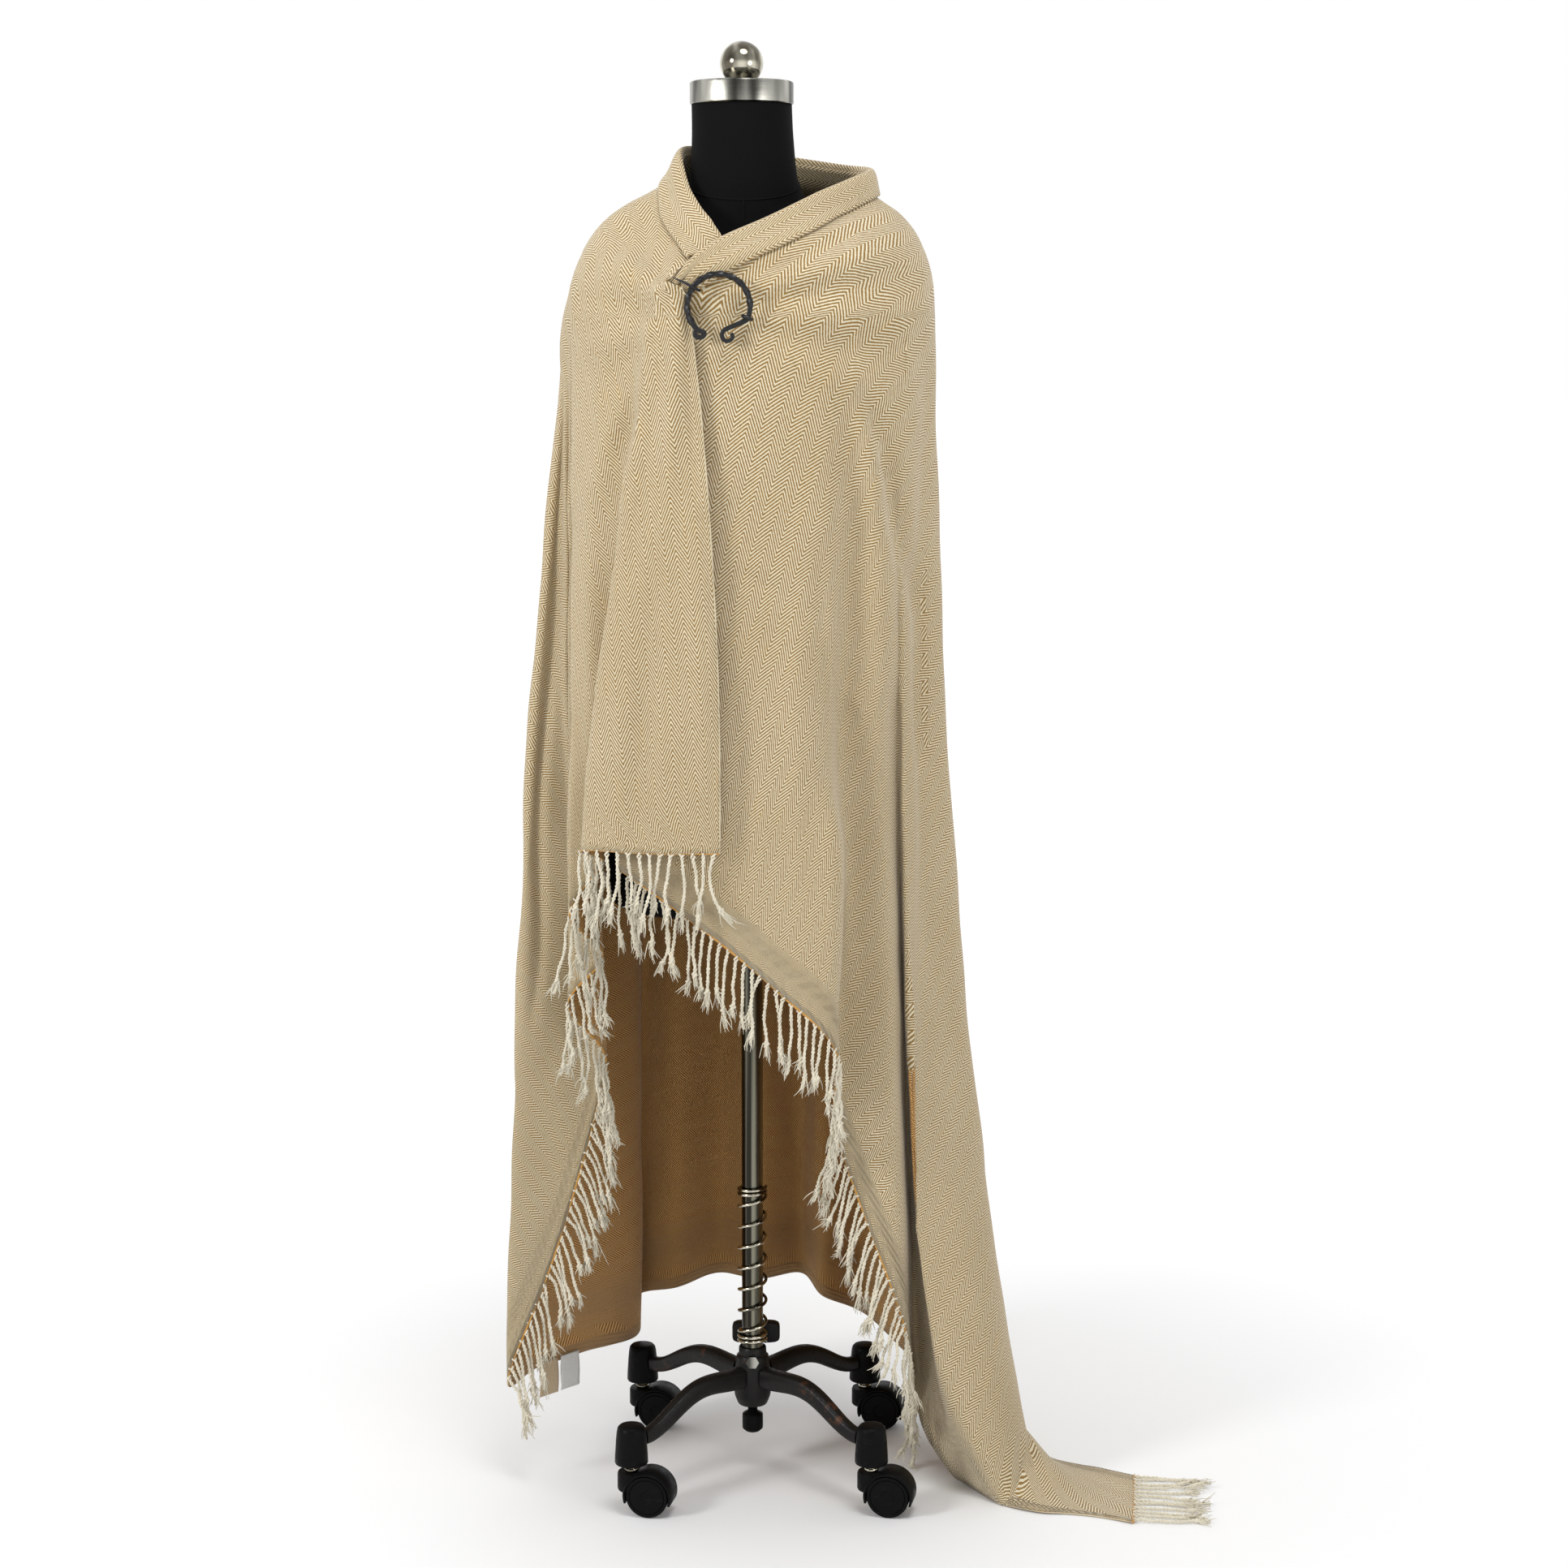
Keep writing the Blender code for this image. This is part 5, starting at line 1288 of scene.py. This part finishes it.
def form_ring(height):
    """One section of the dress form, which leans a little towards its neck."""
    at = np.interp(height, [row[0] for row in FORM], np.arange(len(FORM)))
    _, half_width, front, back = smooth(FORM, at)
    angles = TAU * np.arange(FORM_SIDES) / FORM_SIDES
    depth = np.where(np.sin(angles) > 0, back, front)
    lean = FORM_LEAN * np.clip((height - FORM_LEAN_FROM) / (FORM_TOP - FORM_LEAN_FROM), 0, 1)
    x = lean + half_width * np.cos(angles)
    return np.stack([x, depth * np.sin(angles), np.full(FORM_SIDES, height)], axis=1)


def make_form():
    """The padded torso with its seams, its steel neck cap and its ball."""
    torso, seams = Shape(), Shape()
    under = np.linspace(0, 1, 5)[:-1] * 0.002 + FORM[0][0]
    heights = np.concatenate([under, np.linspace(FORM[1][0], FORM_TOP, 230)])
    torso.rings([form_ring(height) for height in heights])
    form = add_shape("padded-form", torso, JERSEY, ["dress-form"])
    level = np.full(FORM_SIDES, NECK_SEAM_Z)
    for _ in range(SEAM_ROUNDS):
        around = np.array([form_ring(height)[at] for at, height in enumerate(level)])
        level = NECK_SEAM_Z + NECK_SEAM_SLOPE * around[:, 1]
    seams.tube([*around, *around[:2]], SEAM_RADIUS, 6, UP)
    heights = np.linspace(around[FORM_FRONT, 2], FORM[2][0], 120)
    seams.tube([form_ring(height)[FORM_FRONT] for height in heights], SEAM_RADIUS, 6, (1, 0, 0))
    add_shape("form-seams", seams, JERSEY)
    neck = (FORM_LEAN, 0, 0)
    low, high, edge = CAP_BOTTOM, CAP_TOP, CAP_RADIUS
    cap = [(0, low), (edge - 0.001, low), (edge, low + 0.001), (edge, high - 0.0022)]
    cap += [(edge - 0.0006, high - 0.0008), (edge - 0.0020, high), (0.012, high), (0, high)]
    add_turned("steel-neck-cap", BRUSHED, "neck-cap", 35, cap, 96, neck)
    sweep = np.linspace(math.acos((CAP_TOP + 0.0004 - BALL_CENTRE) / BALL_RADIUS), 0, 40)
    ball = np.stack([BALL_RADIUS * np.sin(sweep), BALL_CENTRE + BALL_RADIUS * np.cos(sweep)], axis=1)
    add_turned("chrome-ball", CHROME, "ball-finial", None, ball, 64, neck)


def make_stand():
    """The pole with its spring, the hub with its screw, knob and pedal, and the legs."""
    pole = ((0, POLE_BOTTOM), (POLE_RADIUS, POLE_BOTTOM), (POLE_RADIUS, POLE_TOP), (0, POLE_TOP))
    add_turned("chrome-pole", DULL_CHROME, "pole", 35, pole, 64)
    rises = np.concatenate([np.full(int(turns * SPRING_STEPS), rise) for turns, rise in SPRING_RUNS])
    rises *= (SPRING_TOP - SPRING_BOTTOM - 2 * SPRING_WIRE) / rises.sum()
    heights = SPRING_BOTTOM + SPRING_WIRE + np.concatenate([[0], np.cumsum(rises)])
    angles = TAU * np.arange(len(heights)) / SPRING_STEPS
    line = np.stack([SPRING_REACH * np.cos(angles), SPRING_REACH * np.sin(angles), heights], axis=1)
    add_tube("coil-spring", CHROME, "pole-spring", None, line, SPRING_WIRE, 10, UP)
    hub = [(HUB_RADIUS * share, HUB_BOTTOM + height) for share, height in HUB_PROFILE]
    add_turned("cast-hub", ENAMEL, "hub", 40, hub, 64)
    start, ridges, radius, depth = KNOB_THREAD
    top = HUB_BOTTOM - GAP
    heights = enumerate(np.linspace(start, top - GAP, ridges))
    thread = [(radius - depth * (at % 2), height) for at, height in heights]
    add_turned("clamp-knob", PLASTIC, "hub-knob", 40, [*KNOB_PROFILE, *thread, (0, top)], 40)
    place = (0, -HUB_RADIUS - GAP, BOLT_Z)
    add_turned("hex-screw", BRUSHED, "hub-bolt", 25, SCREW_PROFILE, 6, place, LYING)
    make_pedal()
    for name, side, way in CASTERS:
        make_leg(name, side, way)
        make_caster(name, side, way)


def make_pedal():
    """The height pedal behind the hub, a block with rounded edges."""
    width, depth, height = PEDAL_SIZE
    angles = TAU * (np.arange(PEDAL_SIDES) + 0.5) / PEDAL_SIDES
    reach = rounded(angles, 6, 1.0)
    rows = []
    for share in np.linspace(0, 1, PEDAL_STEPS):
        ease = 1 - 0.06 * (2 * share - 1) ** 6
        x = PEDAL_X + width / 2 * np.cos(angles) * reach * ease
        y = np.full(PEDAL_SIDES, HUB_RADIUS + GAP + depth * share)
        z = PEDAL_Z + height / 2 * np.sin(angles) * reach * ease
        rows.append(np.stack([x, y, z], axis=1))
    shape = Shape()
    shape.rings(rows)
    add_shape("foot-pedal", shape, ENAMEL, ["height-pedal"], 40)


def make_leg(name, side, way):
    """A cast leg with flattened sides, arched from the hub to the hood over its caster."""
    share = np.linspace(0, 1, 40)
    start = HUB_RADIUS + GAP
    finish = math.hypot(CASTER_REACH, CASTER_REACH) - HOOD_RADIUS - GAP / 2
    reach = (start + (finish - start) * share) * math.sqrt(0.5)
    height = LEG_START_Z + LEG_RISE * np.sin(np.pi * share) ** 2 - LEG_FALL * (3 * share**2 - 2 * share**3)
    line = np.stack([side * reach, way * reach, height], axis=1)
    radii = LEG_RADIUS * 0.97 * (1.25 - 0.4 * share)
    add_tube("cast-leg-" + name, ENAMEL, "leg-" + name, 50, line, radii, 32, UP, LEG_SECTION)
    place = (side * CASTER_REACH, way * CASTER_REACH, 0)
    add_turned("tapered-hood-" + name, PLASTIC, "hood-" + name, 50, HOOD_PROFILE, 48, place)


def make_caster(name, side, way):
    """The swivelling housing with its stem, and the pair of wheels."""
    cosine, sine = math.cos(CASTER_TURN), math.sin(CASTER_TURN)
    turn = np.array(((cosine, -sine, 0), (sine, cosine, 0), (0, 0, 1)))
    corner = np.array((side * CASTER_REACH, way * CASTER_REACH, 0))
    axle = corner + turn @ (WHEEL_OFFSET, 0, WHEEL_RADIUS)
    housing, stem, wheels = Shape(), Shape(), Shape()
    half = [(reach, -across) for reach, across in HOUSING_HALF]
    reach, across = np.transpose([*half, *HOUSING_HALF[::-1]])
    least = math.asin((HOUSING_BOTTOM - WHEEL_RADIUS) / FENDER_RADIUS)
    angles = np.linspace(least, math.pi - least, 44)[:, None]
    rows = np.stack([reach * np.cos(angles), across + 0 * angles, reach * np.sin(angles)], axis=2)
    housing.rings(rows @ turn.T + axle)
    housing.turned(BOSS_PROFILE, 40, corner)
    stem.turned(STEM_PROFILE, 32, corner)
    for hand in (-1, 1):
        profile = [(reach, hand * across) for reach, across in WHEEL_PROFILE]
        wheels.turned(profile, 56, axle, turn @ LYING)
    wheels.turned(AXLE, 24, axle, turn @ LYING)
    housings, rollers = ["caster-housing-" + name], ["caster-wheels-" + name]
    add_shape("twin-housing-" + name, housing, PLASTIC, housings, 40, "caster_" + name)
    add_shape("chrome-stem-" + name, stem, CHROME, (), 35, "caster_" + name)
    add_shape("rolling-wheels-" + name, wheels, PLASTIC, rollers, 40, "wheels_" + name)


def make_brooch():
    """A forged open ring with curled ends, and the pin whose tip and eye show."""
    place = np.array(BROOCH_PLACE)
    ends = (BROOCH_RIGHT, BROOCH_LEFT)
    begin, finish = (math.atan2(end[0][0], -end[0][1]) for end in ends)
    angles = np.linspace(begin, finish + TAU, 260)[1:-1]
    arc = BROOCH_RADIUS * np.stack([np.sin(angles), -np.cos(angles)], axis=1)
    right, left = (smooth(end, np.linspace(0, len(end) - 1, CURL_STEPS)) for end in ends)
    flat = np.concatenate([right[::-1], arc, left])
    walk = walk_of(flat)
    from_middle = walk - walk[CURL_STEPS:-CURL_STEPS].mean()
    away = np.abs(from_middle)
    forward = -0.0012 * np.exp(-((away - 0.150) / 0.02) ** 2)
    line = place + np.stack([flat[:, 0], forward, flat[:, 1]], axis=1)
    radii = RING_SHARE * BROOCH_WIRE * np.interp(away, *RING_TAPER)
    turns, length = RING_TWIST
    twist = turns * np.clip(from_middle / length + 0.5, 0, 1) * TAU / 2
    tube = (line, radii, 24, (0, 1, 0), RING_SECTION, twist)
    add_tube("forged-ring", FORGED, "brooch-ring", 60, *tube)
    fine = place + smooth(PIN_TIP, np.linspace(0, len(PIN_TIP) - 1, PIN_STEPS))
    radii = PIN_WIRE * np.interp(np.linspace(0, 1, PIN_STEPS), *PIN_TAPER)
    add_tube("forged-pin", FORGED, "brooch-pin", 60, fine, radii, 12, (0, 1, 0))
    turn = math.radians(EYE_TURN)
    centre = np.array((BROOCH_RADIUS * math.sin(turn), 0, -BROOCH_RADIUS * math.cos(turn)))
    around = BROOCH_WIRE + EYE_WIRE + 0.0002
    angles = np.radians(np.linspace(-140, 140, 40))[:, None]
    eye = place + centre + around * (unit(-centre) * np.cos(angles) + np.array((0, 1, 0)) * np.sin(angles))
    add_tube("forged-eye", FORGED, "brooch-eye", 60, eye, EYE_WIRE, 12, (0.3, 0.9, 0.3))


def make_cloth():
    grid, normals, shawl = make_shawl()
    fold, fold_size = make_neck_fold(grid, normals)
    cords, roots = [], []
    for number, (name, begin, end) in enumerate(FRINGES):
        begin, end = column_of(begin), column_of(end)
        edge = edge_of(grid[:, : FOOT + 1], normals[:, : FOOT + 1], begin, end, FOOT)
        cords.append(make_fringe("cords" + name[6:], name, edge, number + 3))
        roots.append(grid[begin : end + 1, FOOT])
    first, last = TRAIN_FIRST * BETWEEN, TRAIN_LAST * BETWEEN
    edge = edge_of(grid, normals, first, last, grid.shape[1] - 1)
    cords.append(make_fringe("cords-train", "fringe-train", edge, 21, lies=True))
    selvedge = grid[0, : FOOT + 1] + normals[0, : FOOT + 1] * 0.0006
    hem = np.concatenate([grid[column_of("left corner") : first + 1, FOOT], grid[first, FOOT + 1 :]])
    front = grid[last, FOOT + 1 :]
    cords.append(make_edging("pale-edging", [selvedge, hem, front], 0.0008, SELVEDGE))
    cords.append(make_edging("gold-edging", [*roots, grid[first : last + 1, -1]], 0.0013, GOLD_YARN))
    make_labels(grid)


def make_floor():
    mesh = bpy.data.meshes.new("floor")
    corners = [(x * FLOOR_HALF, y * FLOOR_HALF, 0) for x, y in ((-1, -1), (1, -1), (1, 1), (-1, 1))]
    mesh.from_pydata(corners, [], [(0, 1, 2, 3)])
    floor = bpy.data.objects.new("floor", mesh)
    floor.location.z = -0.0002
    bpy.context.scene.collection.objects.link(floor)
    made = Finish("pale floor", 0.7, emission_color=(1, 1, 1, 1))
    place = made.place()
    far = made.band(made.vector("LENGTH", {0: place}, 1), FLOOR_NEAR, FLOOR_FAR)
    pale = made.mix(made.noise(place, 3.0), srgb(0.925, 0.925, 0.925), srgb(0.935, 0.935, 0.935))
    made.colour(made.mix(far, pale, (0, 0, 0, 1)))
    made.give(made.shader.inputs["Emission Strength"], far)
    mesh.materials.append(made.material)


def add_light(name, place, aim, size, power):
    light = bpy.data.lights.new(name, "AREA")
    light.shape = "DISK"
    light.size = size
    light.energy = power
    lamp = bpy.data.objects.new(name, light)
    lamp.location = POLE + Vector(place)
    lamp.rotation_euler = (Vector(aim) - Vector(place)).to_track_quat("-Z", "Y").to_euler()
    bpy.context.scene.collection.objects.link(lamp)


def light_and_camera():
    world = bpy.data.worlds.new("studio")
    world.use_nodes = True
    sky = Nodes(world.node_tree)
    background = sky.tree.nodes["Background"]
    background.inputs["Color"].default_value = (1, 1, 1, 1)
    _, back, rise = sky.apart(sky.node("TexCoord"))
    fade = sky.band(back, -WORLD_FADE, WORLD_FADE, WORLD_FRONT, WORLD_BACK, "LINEAR")
    low = sky.band(rise, *HORIZON, WORLD_BACK, 0.0, "LINEAR")
    sky.give(background.inputs["Strength"], sky.calc("MAXIMUM", fade, low))
    bpy.context.scene.world = world
    for name, place, height, size, power in LIGHTS:
        add_light(name, place, (0, 0, height), size, power)
    bpy.context.scene.view_settings.view_transform = "Standard"
    camera = bpy.data.cameras.new("camera")
    camera.lens = LENS
    camera.sensor_width = 36
    eye = bpy.data.objects.new("camera", camera)
    eye.location = POLE + Vector(CAMERA_PLACE)
    eye.rotation_euler = (math.radians(90 - CAMERA_PITCH), 0, 0)
    bpy.context.scene.collection.objects.link(eye)
    bpy.context.scene.camera = eye


make_cloth()
make_form()
make_stand()
make_brooch()
make_floor()
light_and_camera()
